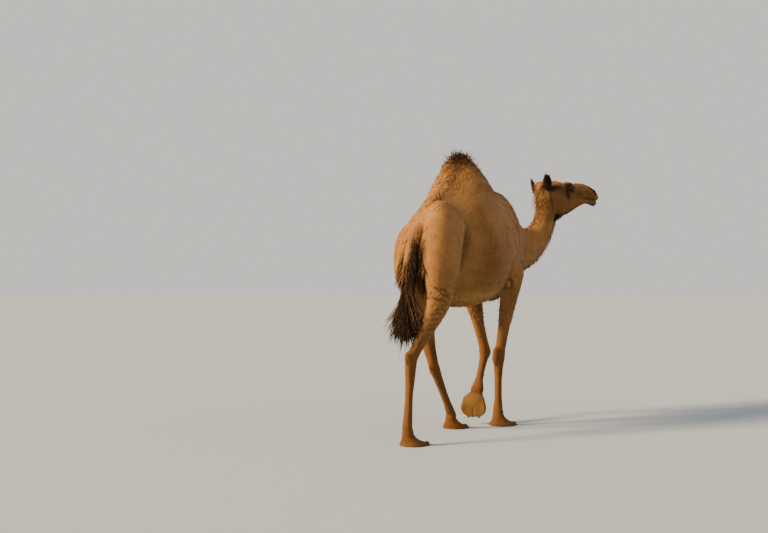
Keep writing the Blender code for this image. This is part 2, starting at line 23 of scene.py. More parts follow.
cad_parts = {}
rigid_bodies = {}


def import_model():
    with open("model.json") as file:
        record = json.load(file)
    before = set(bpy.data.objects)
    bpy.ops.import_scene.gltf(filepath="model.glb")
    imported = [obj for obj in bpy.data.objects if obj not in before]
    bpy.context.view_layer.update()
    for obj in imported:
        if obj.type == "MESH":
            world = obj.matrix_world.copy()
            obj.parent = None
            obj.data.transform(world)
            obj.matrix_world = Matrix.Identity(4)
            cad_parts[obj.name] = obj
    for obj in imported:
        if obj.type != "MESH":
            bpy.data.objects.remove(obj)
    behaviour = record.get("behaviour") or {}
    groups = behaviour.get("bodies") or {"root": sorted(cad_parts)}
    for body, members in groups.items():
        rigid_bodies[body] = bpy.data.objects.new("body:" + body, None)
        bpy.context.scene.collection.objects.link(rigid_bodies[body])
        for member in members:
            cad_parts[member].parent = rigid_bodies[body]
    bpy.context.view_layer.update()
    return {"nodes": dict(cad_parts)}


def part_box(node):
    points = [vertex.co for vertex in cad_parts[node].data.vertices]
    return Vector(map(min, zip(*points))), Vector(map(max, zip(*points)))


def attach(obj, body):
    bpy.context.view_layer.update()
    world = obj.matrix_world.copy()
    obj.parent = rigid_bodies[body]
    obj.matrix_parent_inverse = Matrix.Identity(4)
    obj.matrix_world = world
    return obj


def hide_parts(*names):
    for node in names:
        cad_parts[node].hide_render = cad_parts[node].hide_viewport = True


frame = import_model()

logging.basicConfig(level=logging.INFO, format="%(message)s")
LOG = logging.getLogger("camel")

Array = np.ndarray
Point = tuple[float, float, float]
BODY = "root"
UV_NAME = "OFBake"
SIDES = (-1, 1)  # the animal's right and its left


# ---------------------------------------------------------------- frames
def middle(node: str) -> Vector:
    """The middle of a CAD node's box."""
    low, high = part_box(node)
    return (low + high) / 2


EYE_IN_HEAD = Vector((0.190, 0.085, 0.038))  # the left eye's centre, in the head's frame
EYE_RADIUS = 0.0225
EYES_IN_WALK = Vector((1.8995, -0.2450, 1.9930))  # midway between the eyes, walker's frame


def head_frame() -> Matrix:
    """The head's frame, from the places of its eyes."""
    left, right = middle("eye_left"), middle("eye_right")
    across = (left - right).normalized()
    up = Vector((0, 0, 1))
    nose = across.cross(up).normalized()
    turn = Matrix((nose, across, up)).transposed()
    origin = (left + right) / 2 - EYE_IN_HEAD.x * nose - EYE_IN_HEAD.z * up
    return Matrix.Translation(origin) @ turn.to_4x4()


HEAD = head_frame()
WALK = (middle("eye_left") + middle("eye_right")) / 2 - EYES_IN_WALK  # the walker's origin


def in_walk(points: Array) -> Array:
    """World points in the walker's frame."""
    return points - np.array(WALK)


def in_frame(points: Array, place: Matrix) -> Array:
    """World points in the frame that a matrix places."""
    turn = np.array(place.to_3x3())
    return (points - np.array(place.translation)) @ turn


# ---------------------------------------------------------------- joints of the legs
@dataclass(frozen=True)
class Leg:
    """One leg's joints in the walker's frame, from the trunk down, and its foot's turn."""

    name: str
    side: int
    root: Point
    upper: Point
    middle: Point
    fetlock: Point
    foot: Point
    toe_out: float
    sole_back: float = 0.0

    def foot_frame(self) -> Matrix:
        """The foot's frame in world space: +X to the toes, origin in the middle of the sole."""
        turn = Matrix.Rotation(math.radians(self.side * self.toe_out), 4, "Z")
        tip = Matrix.Rotation(math.radians(self.sole_back), 4, "Y")
        return Matrix.Translation(Vector(self.foot) + WALK) @ turn @ tip

    def is_hind(self) -> bool:
        """Whether this is a hind leg."""
        return self.name.startswith("hind")

    def knee_pad(self) -> Point:
        """The middle of the horny pad in front of a fore knee."""
        return tuple(at + step for at, step in zip(self.middle, (0.045, 0.0, -0.005)))


LEGS = (
    Leg("hind_right", -1, (-0.05, -0.14, 1.42), (-0.14, -0.165, 0.99), (-0.405, -0.095, 0.60),
        (-0.50, -0.125, 0.135), (-0.42, -0.13, 0.0), 6.0),
    Leg("hind_left", 1, (-0.035, 0.135, 1.34), (0.12, 0.14, 0.95), (0.165, 0.055, 0.50),
        (0.435, 0.07, 0.135), (0.53, 0.08, 0.0), 6.0),
    Leg("fore_right", -1, (1.09, -0.17, 1.34), (0.978, -0.185, 1.13), (0.849, -0.139, 0.55),
        (0.817, -0.15, 0.130), (0.885, -0.155, 0.0), 4.0),
    Leg("fore_left", 1, (1.09, 0.17, 1.34), (0.97, 0.185, 1.10), (1.17, 0.16, 0.57),
        (0.855, 0.06, 0.295), (0.765, 0.05, 0.16), 18.0, 88.0),
)
NECK_LINE = (
    (1.10, 0.0, 1.50), (1.31, -0.015, 1.45), (1.46, -0.04, 1.445), (1.60, -0.075, 1.505),
    (1.685, -0.105, 1.60), (1.725, -0.125, 1.70), (1.735, -0.14, 1.80), (1.735, -0.15, 1.93),
)
EAR_LINES = (  # root and tip of each ear, in the head's frame
    ((-0.040, -0.078, 0.010), (-0.094, -0.114, 0.138)),
    ((-0.084, 0.064, 0.000), (-0.100, 0.092, 0.118)),
)
EAR_ACROSS = ((0.77, 0.0, 0.64), (0.55, 0.62, 0.15))  # the way that each ear is broad


# The level wrinkles of the thigh that pushes off: height, slope, depth and place ahead.
THIGH_FOLDS: tuple[tuple[float, float, float, float], ...] = (
    (1.135, -0.15, 0.004, -0.16), (1.105, -0.35, 0.008, -0.19), (1.070, -0.55, 0.011, -0.17),
    (1.035, -0.30, 0.009, -0.21), (1.000, -0.10, 0.008, -0.22), (0.965, -0.20, 0.010, -0.20),
    (0.930, 0.00, 0.008, -0.22), (0.893, 0.05, 0.007, -0.24), (0.857, 0.00, 0.007, -0.26),
    (0.820, 0.10, 0.006, -0.28), (0.775, 0.10, 0.006, -0.31), (0.735, 0.05, 0.004, -0.33),
)
THIGH_PATCH = (0.13, 0.12, 0.07)  # the radii round each wrinkle's middle that it shows in
THIGH_OUT = -0.23


# ---------------------------------------------------------------- fields over points
def blob(points: Array, at: Point, radii: Point) -> Array:
    """A soft weight, 1 at a point and about 0.14 at these radii from it."""
    gap = (points - np.array(at)) / np.array(radii)
    return np.exp(-2.0 * (gap**2).sum(axis=1))


def stretches(points: Array, line: Sequence[Point]) -> Iterator[tuple[Array, Array, Array]]:
    """Each stretch of a broken line, as its vector and where points lie beside it.

    Yields:
        The vector, how far along it each point's nearest place is, from 0 to 1, and how far away.
    """
    corners = np.array(line, float)
    for a, b in zip(corners, corners[1:]):
        leg = b - a
        t = np.clip((points - a) @ leg / (leg @ leg), 0, 1)
        yield leg, t, np.linalg.norm(points - a - t[:, None] * leg, axis=1)


def line_distance(points: Array, line: Sequence[Point]) -> tuple[Array, Array]:
    """How far points lie from a broken line.

    Args:
        points: the points, one a row.
        line: the corners of the line.

    Returns:
        The distances, and how far along the line the nearest place is, from 0 to 1.
    """
    best = np.full(len(points), np.inf)
    where = np.zeros(len(points))
    for k, (_, t, gap) in enumerate(stretches(points, line)):
        nearer = gap < best
        best[nearer] = gap[nearer]
        where[nearer] = (k + t[nearer]) / (len(line) - 1)
    return best, where


def streak(points: Array, line: Sequence[Point], width: float, fade: float = 0.12) -> Array:
    """A soft weight along a broken line, which fades out over its two ends."""
    gap, where = line_distance(points, line)
    ends = np.clip(np.minimum(where, 1 - where) / fade, 0, 1) if fade else 1.0
    return np.exp(-((gap / width) ** 2)) * ends


def rise(values: Array, low: float, high: float) -> Array:
    """A smooth step from 0 at `low` to 1 at `high`."""
    t = np.clip((values - low) / (high - low), 0, 1)
    return t * t * (3 - 2 * t)


def on_ears(head: Array, low: float = 0.10, high: float = 0.28) -> Array:
    """1 on the ears above their roots and 0 elsewhere, for points in the head's frame."""
    made = np.zeros(len(head))
    for line in EAR_LINES:
        gap, where = line_distance(head, line)
        made = np.maximum(made, (1 - rise(gap, 0.042, 0.054)) * rise(where, low, high))
    return made


def folded(head: Array) -> Array:
    """Points in the head's frame, with those of its right side laid on its left side."""
    return np.column_stack((head[:, 0], np.abs(head[:, 1]), head[:, 2]))


def flattened(points: Array, side: int, least: float) -> Array:
    """Points of one side laid on the middle plane, and all others far away from it."""
    flat = np.array(points)
    flat[:, 1] = np.where(side * points[:, 1] > least, 0.0, 9.0)
    return flat


def level(line: Sequence[Point]) -> list[Point]:
    """A line laid on the middle plane."""
    return [(x, 0.0, z) for x, _, z in line]


def callus_gap(walk: Array, side: int) -> Array:
    """How far points near an elbow lie from the middle of its callus, seen from behind."""
    aside = 0.559 * walk[:, 0] + side * 0.829 * walk[:, 1]
    gap = np.hypot((aside - 0.667) / 0.85, (walk[:, 2] - 1.148) / 1.15)
    far = (np.abs(walk[:, 0] - 0.86) > 0.16) | (side * walk[:, 1] < 0.10)
    return np.where(far, 1.0, gap)


def fold_gap(walk: Array, at: Point, slope: float) -> Array:
    """How far points lie above a wavering wrinkle through a place, which climbs by slope ahead."""
    straight = walk[:, 2] - at[2] - slope * (walk[:, 0] - at[0])
    return straight + 0.008 * np.sin(walk[:, 0] * 70 + at[2] * 90)


def outward(line: Sequence[Point], side: int) -> list[Point]:
    """A line given as (ahead, out, up), on that side."""
    return [(x, side * y, z) for x, y, z in line]


def noise_at(points: Array, size: float, seed: float = 0.0) -> Array:
    """Smooth noise from -1 to 1, with lumps of about that size in metres."""
    shift = Vector((seed, 2 * seed, 3 * seed))
    return np.array([noise.noise(Vector(p) / size + shift) for p in points])


# ---------------------------------------------------------------- small Blender tools
def deselect_all() -> None:
    """Leaves nothing selected."""
    for obj in bpy.context.view_layer.objects:
        obj.select_set(False)


def pick(*objects: bpy.types.Object) -> None:
    """Selects these objects alone and makes the first one active."""
    deselect_all()
    for obj in objects:
        obj.select_set(True)
    bpy.context.view_layer.objects.active = objects[0]


def apply_modifier(obj: bpy.types.Object, kind: str, **settings: object) -> None:
    """Adds a modifier with these settings and applies it."""
    pick(obj)
    step = obj.modifiers.new(kind.lower(), kind)
    for name, value in settings.items():
        setattr(step, name, value)
    bpy.ops.object.modifier_apply(modifier=step.name)


def solid_copy(name: str, nodes: Sequence[str]) -> bpy.types.Object:
    """One new object from copies of CAD nodes, each closed by merging its loose triangles."""
    copies = []
    for node in nodes:
        copy = bpy.data.objects.new(node + "_copy", frame["nodes"][node].data.copy())
        bpy.context.scene.collection.objects.link(copy)
        copies.append(copy)
    pick(*copies)
    bpy.ops.object.join()
    obj = bpy.context.view_layer.objects.active
    bpy.ops.object.mode_set(mode="EDIT")
    bpy.ops.mesh.select_all(action="SELECT")
    bpy.ops.mesh.remove_doubles(threshold=1e-5)
    bpy.ops.object.mode_set(mode="OBJECT")
    obj.name = name
    obj.data.name = name
    obj.data.materials.clear()
    return obj


def coordinates(obj: bpy.types.Object) -> Array:
    """The object's vertices as rows."""
    flat = np.empty(len(obj.data.vertices) * 3)
    obj.data.vertices.foreach_get("co", flat)
    return flat.reshape(-1, 3)


def set_coordinates(obj: bpy.types.Object, points: Array) -> None:
    """Moves the object's vertices to these points."""
    obj.data.vertices.foreach_set("co", points.ravel())
    obj.data.update()


def vertex_normals(obj: bpy.types.Object) -> Array:
    """The normal at each vertex."""
    flat = np.empty(len(obj.data.vertices) * 3)
    obj.data.vertex_normals.foreach_get("vector", flat)
    return flat.reshape(-1, 3)


def weights_to_group(obj: bpy.types.Object, name: str, weights: Array) -> str:
    """Stores one weight a vertex as a vertex group, in twenty steps.

    Returns:
        The group's name.
    """
    group = obj.vertex_groups.new(name=name)
    steps = np.round(np.clip(weights, 0, 1) * 20).astype(int)
    for step in range(21):
        members = np.nonzero(steps == step)[0]
        if len(members):
            group.add(members.tolist(), step / 20, "REPLACE")
    return group.name


def store(obj: bpy.types.Object, name: str, values: Array) -> None:
    """Stores a number at each vertex, for the materials to read."""
    layer = obj.data.attributes.new(name, "FLOAT", "POINT")
    layer.data.foreach_set("value", np.ascontiguousarray(values, np.float32))


def settle(obj: bpy.types.Object, rounds: int, weights: Array | None = None) -> None:
    """Smooths a mesh and then gives back most of the volume that smoothing takes.

    Args:
        obj: the object.
        rounds: how often each vertex moves halfway to the middle of its neighbours.
        weights: how much of that each vertex takes part in.
    """
    settings: dict[str, object] = {"factor": 0.5, "iterations": rounds}
    if weights is not None:
        settings["vertex_group"] = weights_to_group(obj, "settle", weights)
    apply_modifier(obj, "SMOOTH", **settings)
    once = coordinates(obj)
    apply_modifier(obj, "SMOOTH", **settings)
    set_coordinates(obj, 2 * once - coordinates(obj))
    obj.vertex_groups.clear()


# ---------------------------------------------------------------- materials
def linear(hex_colour: str) -> tuple[float, float, float, float]:
    """An sRGB hex colour as linear values with full alpha."""
    parts = [int(hex_colour[i : i + 2], 16) / 255 for i in (1, 3, 5)]
    values = [c / 12.92 if c <= 0.04045 else ((c + 0.055) / 1.055) ** 2.4 for c in parts]
    return (values[0], values[1], values[2], 1.0)


def add_node(
    tree: bpy.types.NodeTree, kind: str, inputs: dict[object, object] | None = None, **settings: object
) -> bpy.types.Node:
    """Adds a node.

    Args:
        tree: the material's node tree.
        kind: the node's type name.
        inputs: for each input, by name or index, a value or the output socket to link.
        settings: the node's own properties.

    Returns:
        The node.
    """
    node = tree.nodes.new(kind)
    for name, value in settings.items():
        setattr(node, name, value)
    for key, value in (inputs or {}).items():
        if isinstance(value, bpy.types.NodeSocket):
            tree.links.new(value, node.inputs[key])
        else:
            node.inputs[key].default_value = value
    return node


def new_material(name: str, **values: object) -> tuple[bpy.types.NodeTree, bpy.types.Node]:
    """A new material's tree and its Principled BSDF, with these values on its sockets."""
    material = bpy.data.materials.new(name)
    material.use_nodes = True
    tree = material.node_tree
    shader = tree.nodes["Principled BSDF"]
    for key, value in values.items():
        shader.inputs[key.replace("_", " ").title().replace("Ior", "IOR")].default_value = value
    return tree, shader


def per_metre(millimetres: float) -> float:
    """A texture's scale that gives lumps of that size."""
    return 1000.0 / millimetres


class Mark(Enum):
    """The markings that skin and coat share, painted shade and highlight among them, each a number from 0 to
    1 at every vertex.
    """

    DARK = "dark"  # blackish brown hair: ears, eyes, hump's ridge, tail; also painted shade in creases, folds and hollows
    PALE = "pale"  # sandy cream hair: belly, inner legs, lips; also a painted highlight along the front edge of the right thigh
    WARM = "warm"  # reddish brown hair: cheeks, lower legs; also painted shade over the middle of each flank
    BARE = "bare"  # grey-brown horny skin: calluses, soles, lips' edges


@dataclass(frozen=True)
class CoatFinish:
    """Camel hair, short and dull: mottled tawny brown, bleached at the tips, with the painted shade and
    painted highlight of the markings.
    """

    name: str = "camel_hair"
    mid: str = "#866036"
    deep: str = "#6f4a23"
    # warm, pale and dark also serve for the painted shade and painted highlight that the markings place
    warm: str = "#52300c"
    pale: str = "#bd9250"
    dark: str = "#1c110a"
    bare: str = "#5f451e"
    tip: str = "#a0763f"
    mottle_mm: float = 140.0  # cloudy patches of deeper hair
    mottle_range: tuple[float, float] = (0.34, 0.80)
    fleck_mm: float = 14.0  # patches of differing tone
    fleck_range: tuple[float, float] = (-0.9, 1.35)
    darkest_fleck: float = 0.78  # brightness beside the colours above
    fleck_contrast: float = 0.36
    raggedness: float = 0.4  # how far flecks break up a marking's edge
    bleach: float = 0.28  # how much of the tip's colour a lock's tip has
    lock_contrast: float = 0.30  # how far single locks differ
    grain_mm: float = 2.2  # single hairs, drawn coarser than life so that they show
    grain_lean: float = -38.0  # degrees that they lie back
    grain_stretch: float = 0.16  # their width over their length
    fleck_relief: float = 0.8  # how high flecks stand beside grain
    bump: float = 0.22
    bump_depth: float = 0.0012
    roughness: float = 0.78

    def build(self) -> bpy.types.Material:
        """The material of skin and coat."""
        tree, shader = new_material(self.name, roughness=self.roughness, specular_ior_level=0.12)
        shader.inputs["Sheen Weight"].default_value = 0.04
        shader.inputs["Sheen Roughness"].default_value = 0.45
        place = add_node(tree, "ShaderNodeTexCoord").outputs["Object"]
        mottle = add_node(
            tree, "ShaderNodeTexNoise",
            {"Vector": place, "Scale": per_metre(self.mottle_mm), "Detail": 3.0, "Roughness": 0.6},
        ).outputs[0]
        fleck = add_node(
            tree, "ShaderNodeTexNoise",
            {"Vector": place, "Scale": per_metre(self.fleck_mm), "Detail": 2.0},
        ).outputs[0]
        deeper = add_node(
            tree, "ShaderNodeMapRange",
            {"Value": mottle, "From Min": self.mottle_range[0], "From Max": self.mottle_range[1]},
        ).outputs[0]
        colour = add_node(
            tree, "ShaderNodeMix", {0: deeper, 6: linear(self.mid), 7: linear(self.deep)},
            data_type="RGBA",
        ).outputs[2]
        hair_tip = add_node(tree, "ShaderNodeAttribute", attribute_name="tip").outputs["Fac"]
        bleached = add_node(
            tree, "ShaderNodeMath", {0: hair_tip, 1: self.bleach}, operation="MULTIPLY"
        ).outputs[0]
        colour = add_node(
            tree, "ShaderNodeMix", {0: bleached, 6: colour, 7: linear(self.tip)}, data_type="RGBA"
        ).outputs[2]
        # the markings mixed in, painted shade and painted highlight among them
        for mark, tone, most in (
            (Mark.WARM, self.warm, 0.85), (Mark.PALE, self.pale, 0.85),
            (Mark.BARE, self.bare, 0.9), (Mark.DARK, self.dark, 0.96),
        ):
            amount = add_node(tree, "ShaderNodeAttribute", attribute_name=mark.value).outputs["Fac"]
            edge = add_node(tree, "ShaderNodeMath", {0: fleck, 1: 0.5}, operation="SUBTRACT").outputs[0]
            ragged = add_node(
                tree, "ShaderNodeMath", {0: edge, 1: self.raggedness, 2: amount}, operation="MULTIPLY_ADD"
            ).outputs[0]
            inside = add_node(
                tree, "ShaderNodeMath", {0: ragged, 1: amount}, operation="MULTIPLY", use_clamp=True
            ).outputs[0]
            full = add_node(tree, "ShaderNodeMath", {0: inside, 1: 0.5}, operation="POWER").outputs[0]
            capped = add_node(tree, "ShaderNodeMath", {0: full, 1: most}, operation="MULTIPLY").outputs[0]
            colour = add_node(
                tree, "ShaderNodeMix", {0: capped, 6: colour, 7: linear(tone)}, data_type="RGBA"
            ).outputs[2]
        tone = add_node(tree, "ShaderNodeAttribute", attribute_name="tone").outputs["Fac"]
        shade = add_node(
            tree, "ShaderNodeMath", {0: tone, 1: self.lock_contrast, 2: 1.0}, operation="MULTIPLY_ADD"
        ).outputs[0]
        speckle = add_node(
            tree, "ShaderNodeMapRange",
            {"Value": fleck, "From Min": self.fleck_range[0], "From Max": self.fleck_range[1]},
        ).outputs[0]
        value = add_node(
            tree, "ShaderNodeMath", {0: speckle, 1: self.fleck_contrast, 2: self.darkest_fleck},
            operation="MULTIPLY_ADD",
        ).outputs[0]
        both = add_node(tree, "ShaderNodeMath", {0: shade, 1: value}, operation="MULTIPLY").outputs[0]
        toned = add_node(tree, "ShaderNodeHueSaturation", {"Value": both, "Color": colour})
        tree.links.new(toned.outputs[0], shader.inputs["Base Color"])
        lie = add_node(
            tree, "ShaderNodeMapping",
            {"Vector": place, "Rotation": (0.0, math.radians(self.grain_lean), 0.0),
             "Scale": (1.0, 1.0, self.grain_stretch)},
        ).outputs[0]
        grain = add_node(
            tree, "ShaderNodeTexNoise",
            {"Vector": lie, "Scale": per_metre(self.grain_mm), "Detail": 2.0, "Roughness": 0.7},
        ).outputs[0]
        height = add_node(
            tree, "ShaderNodeMath", {0: fleck, 1: self.fleck_relief, 2: grain}, operation="MULTIPLY_ADD"
        ).outputs[0]
        relief = add_node(
            tree, "ShaderNodeBump",
            {"Strength": self.bump, "Distance": self.bump_depth, "Height": height},
        ).outputs[0]
        tree.links.new(relief, shader.inputs["Normal"])
        return bpy.data.materials[self.name]


@dataclass(frozen=True)
class EyeFinish:
    """A wet eyeball: nearly black iris with a wide low pupil, a dark rim and a clear front."""

    iris: str = "#3a1f0d"
    iris_edge: str = "#140a05"
    pupil: str = "#040303"
    white: str = "#5a4434"
    fibre_mm: float = 1.1
    iris_radius: float = 0.0165
    pupil_half: tuple[float, float] = (0.0085, 0.0045)

    def build(self, name: str, place: Matrix) -> bpy.types.Material:
        """The material of one eye.

        Args:
            name: the material's name.
            place: the eye's frame, with +X out along its gaze.
        """
        tree, shader = new_material(name, roughness=0.08, ior=1.38)
        shader.inputs["Coat Weight"].default_value = 0.8
        shader.inputs["Coat Roughness"].default_value = 0.03
        local = add_node(
            tree, "ShaderNodeMapping",
            {"Vector": add_node(tree, "ShaderNodeTexCoord").outputs["Object"],
             "Location": tuple(place.translation), "Rotation": tuple(place.to_euler())},
            vector_type="TEXTURE",
        ).outputs[0]
        flat = add_node(
            tree, "ShaderNodeVectorMath", {0: local, 1: (0.0, 1.0, 1.0)}, operation="MULTIPLY"
        ).outputs[0]
        reach = add_node(tree, "ShaderNodeVectorMath", {0: flat}, operation="LENGTH").outputs["Value"]
        fibres = add_node(
            tree, "ShaderNodeTexNoise", {"Vector": local, "Scale": per_metre(self.fibre_mm)}
        ).outputs[0]
        colour: object = linear(self.iris_edge)
        for value, low, high, tone in (
            (fibres, 0.3, 0.7, self.iris),
            (reach, self.iris_radius * 0.75, self.iris_radius, self.iris_edge),
            (reach, self.iris_radius, self.iris_radius * 1.12, self.white),
        ):
            share = add_node(
                tree, "ShaderNodeMapRange", {"Value": value, "From Min": low, "From Max": high}
            ).outputs[0]
            colour = add_node(
                tree, "ShaderNodeMix", {0: share, 6: colour, 7: linear(tone)}, data_type="RGBA"
            ).outputs[2]
        squeezed = add_node(
            tree, "ShaderNodeVectorMath",
            {0: flat, 1: (0.0, 1 / self.pupil_half[0], 1 / self.pupil_half[1])}, operation="MULTIPLY",
        ).outputs[0]
        hole = add_node(tree, "ShaderNodeVectorMath", {0: squeezed}, operation="LENGTH").outputs["Value"]
        outside = add_node(
            tree, "ShaderNodeMapRange", {"Value": hole, "From Min": 0.92, "From Max": 1.06}
        ).outputs[0]
        colour = add_node(
            tree, "ShaderNodeMix", {0: outside, 6: linear(self.pupil), 7: colour}, data_type="RGBA"
        ).outputs[2]
        tree.links.new(colour, shader.inputs["Base Color"])
        return bpy.data.materials[name]


@dataclass(frozen=True)
class NailFinish:
    """Horn: dull dark brown, with wide soft growth rings and paler worn patches."""

    name: str = "nail_horn"
    horn: str = "#3b2a1b"
    worn: str = "#7a5f42"
    ring_mm: float = 5 * math.pi
    wave_pitch: float = 2 * math.pi / 20  # between the bands of a wave texture of scale 1
    worn_mm: float = 9.0

    def build(self) -> bpy.types.Material:
        """The nails' material."""
        tree, shader = new_material(self.name, roughness=0.5, specular_ior_level=0.4)
        place = add_node(tree, "ShaderNodeTexCoord").outputs["Object"]
        rings = add_node(
            tree, "ShaderNodeTexWave",
            {"Vector": place, "Scale": per_metre(self.ring_mm) * self.wave_pitch, "Distortion": 3.0,
             "Detail": 2.0},
            bands_direction="X",
        ).outputs[1]
        wear = add_node(
            tree, "ShaderNodeTexNoise", {"Vector": place, "Scale": per_metre(self.worn_mm)}
        ).outputs[0]
        share = add_node(
            tree, "ShaderNodeMapRange", {"Value": wear, "From Min": 0.45, "From Max": 0.75}
        ).outputs[0]
        colour = add_node(
            tree, "ShaderNodeMix", {0: share, 6: linear(self.horn), 7: linear(self.worn)},
            data_type="RGBA",
        ).outputs[2]
        tree.links.new(colour, shader.inputs["Base Color"])
        relief = add_node(tree, "ShaderNodeBump", {"Strength": 0.3, "Distance": 0.0006, "Height": rings})
        tree.links.new(relief.outputs[0], shader.inputs["Normal"])
        return bpy.data.materials[self.name]


# ---------------------------------------------------------------- eyes
@dataclass(frozen=True)
class Eye:
    """One eyeball and the shape of the opening between its lids."""

    word: str
    side: int
    gaze_ahead: float = 18.0  # degrees that it looks ahead of straight sideways
    gaze_down: float = 4.0
    half_width: float = 46.0  # degrees from the middle of the opening to its corners
    upper: float = 21.0  # degrees up to the upper lid's edge
    lower: float = 17.0
    slant: float = 8.0  # the corner at the nose lies lower
    lid_radius: float = 0.0248
    behind_radius: float = 0.0175  # to which the skin sinks behind the eyeball's front
    crease_height: float = 1.75  # of the upper lid's crease, beside the lid's edge
    crease_width: float = 5.5  # degrees
    crease_depth: float = 0.0016
    cornea: float = 0.045  # share of the radius by which the clear front stands proud

    def centre(self) -> Vector:
        """The eye's centre in world space."""
        return HEAD @ Vector((EYE_IN_HEAD.x, self.side * EYE_IN_HEAD.y, EYE_IN_HEAD.z))

    def frame(self) -> Matrix:
        """The eye's frame: +X out along its gaze, +Z up."""
        turn = math.radians(self.side * (90 - self.gaze_ahead))
        spin = Matrix.Rotation(turn, 4, "Z") @ Matrix.Rotation(math.radians(self.gaze_down), 4, "Y")
        return Matrix.Translation(self.centre()) @ HEAD.to_3x3().to_4x4() @ spin

    def angles(self, points: Array) -> tuple[Array, Array, Array]:
        """Distance from the eye's centre, and degrees to the nose and up from its gaze."""
        local = in_frame(points, self.frame())
        reach = np.linalg.norm(local, axis=1) + 1e-9
        ahead = np.degrees(np.arctan2(-self.side * local[:, 1], local[:, 0]))
        up = np.degrees(np.arcsin(np.clip(local[:, 2] / reach, -1, 1)))
        return reach, ahead, up + ahead * math.tan(math.radians(self.slant))

    def opening(self, ahead: Array, up: Array) -> Array:
        """How far inside the opening a direction is: 1 at the middle, 0 at the lids' edge."""
        bow = np.clip(1 - (ahead / self.half_width) ** 2, 0, None)
        edge = np.where(up > 0, self.upper, self.lower) * bow**0.75
        return np.where(np.abs(ahead) < self.half_width, 1 - np.abs(up) / np.maximum(edge, 0.5), -1.0)

    def sculpt_lids(self, points: Array) -> Array:
        """The points with lids drawn over the eyeball and the skin sunk behind its opening."""
        reach, ahead, up = self.angles(points)
        inside = rise(self.opening(ahead, up), -0.10, 0.12)
        lid = np.maximum(reach, self.lid_radius)
        crease = np.exp(-((up - self.upper * self.crease_height) / self.crease_width) ** 2)
        crease = crease * (np.abs(ahead) < 55)
        lid = lid - self.crease_depth * crease * (reach < 0.031)
        target = lid * (1 - inside) + np.minimum(reach, self.behind_radius) * inside
        close = (1 - rise(reach, 0.034, 0.040)) * (np.abs(ahead) < 100)
        new = reach + (target - reach) * close
        centre = np.array(self.centre())
        return centre + (points - centre) * (new / reach)[:, None]

    def build(self) -> bpy.types.Object:
        """The eyeball with its bulging clear front."""
        bpy.ops.mesh.primitive_uv_sphere_add(segments=48, ring_count=32, radius=EYE_RADIUS)
        eye = bpy.context.active_object
        eye.name = "eyeball_" + self.word
        points = coordinates(eye)
        gaze = points[:, 2] / EYE_RADIUS
        points *= (1 + self.cornea * rise(gaze, 0.72, 1.0))[:, None]
        points = points[:, [2, 1, 0]] * np.array([1, 1, -1])  # the sphere's pole becomes the gaze
        set_coordinates(eye, points)
        eye.data.transform(self.frame())
        pick(eye)
        bpy.ops.object.shade_smooth()
        eye.data.materials.append(EyeFinish().build("eye_" + self.word, self.frame()))
        return eye


EYES = (Eye("right", -1), Eye("left", 1))


# ---------------------------------------------------------------- skin
@dataclass
class Sculptor:
    """Strokes on a skin's points, along its normals. Each stroke adds to `moved`."""

    walk: Array
    head: Array
    moved: Array = field(init=False)

    def __post_init__(self) -> None:
        """Starts with nothing moved."""
        self.moved = np.zeros(len(self.walk))

    def swell(self, points: Array, at: Point, radii: Point, height: float) -> None:
        """Raises the skin around a place, or lowers it."""
        self.moved += height * blob(points, at, radii)

    def groove(
        self, points: Array, line: Sequence[Point], width: float, depth: float, lip: float = 0.3
    ) -> None:
        """Cuts a soft crease along a line, with a low lip on each side of it."""
        gap, where = line_distance(points, line)
        ends = np.clip(np.minimum(where, 1 - where) / 0.15, 0, 1)
        cut = np.exp(-((gap / width) ** 2)) - lip * np.exp(-(((gap - 2.1 * width) / width) ** 2))
        self.moved -= depth * ends * cut

    def fold(self, at: Point, reach: Point, slope: float, width: float, depth: float) -> None:
        """A short level wrinkle round a limb.

        Args:
            at: its middle.
            reach: the radii of the patch that it shows in.
            slope: how much it climbs for each metre ahead.
            width: half its width.
            depth: how deep it is.
        """
        off = fold_gap(self.walk, at, slope)
        cut = np.exp(-((off / width) ** 2)) - 0.35 * np.exp(-(((off - 2.2 * width) / (1.3 * width)) ** 2))
        self.moved -= depth * cut * blob(self.walk, at, reach)


def along(a: Point, b: Point, t: float, shift: Point = (0.0, 0.0, 0.0)) -> Point:
    """A point part of the way from a to b, then shifted."""
    return tuple(p + (q - p) * t + s for p, q, s in zip(a, b, shift))


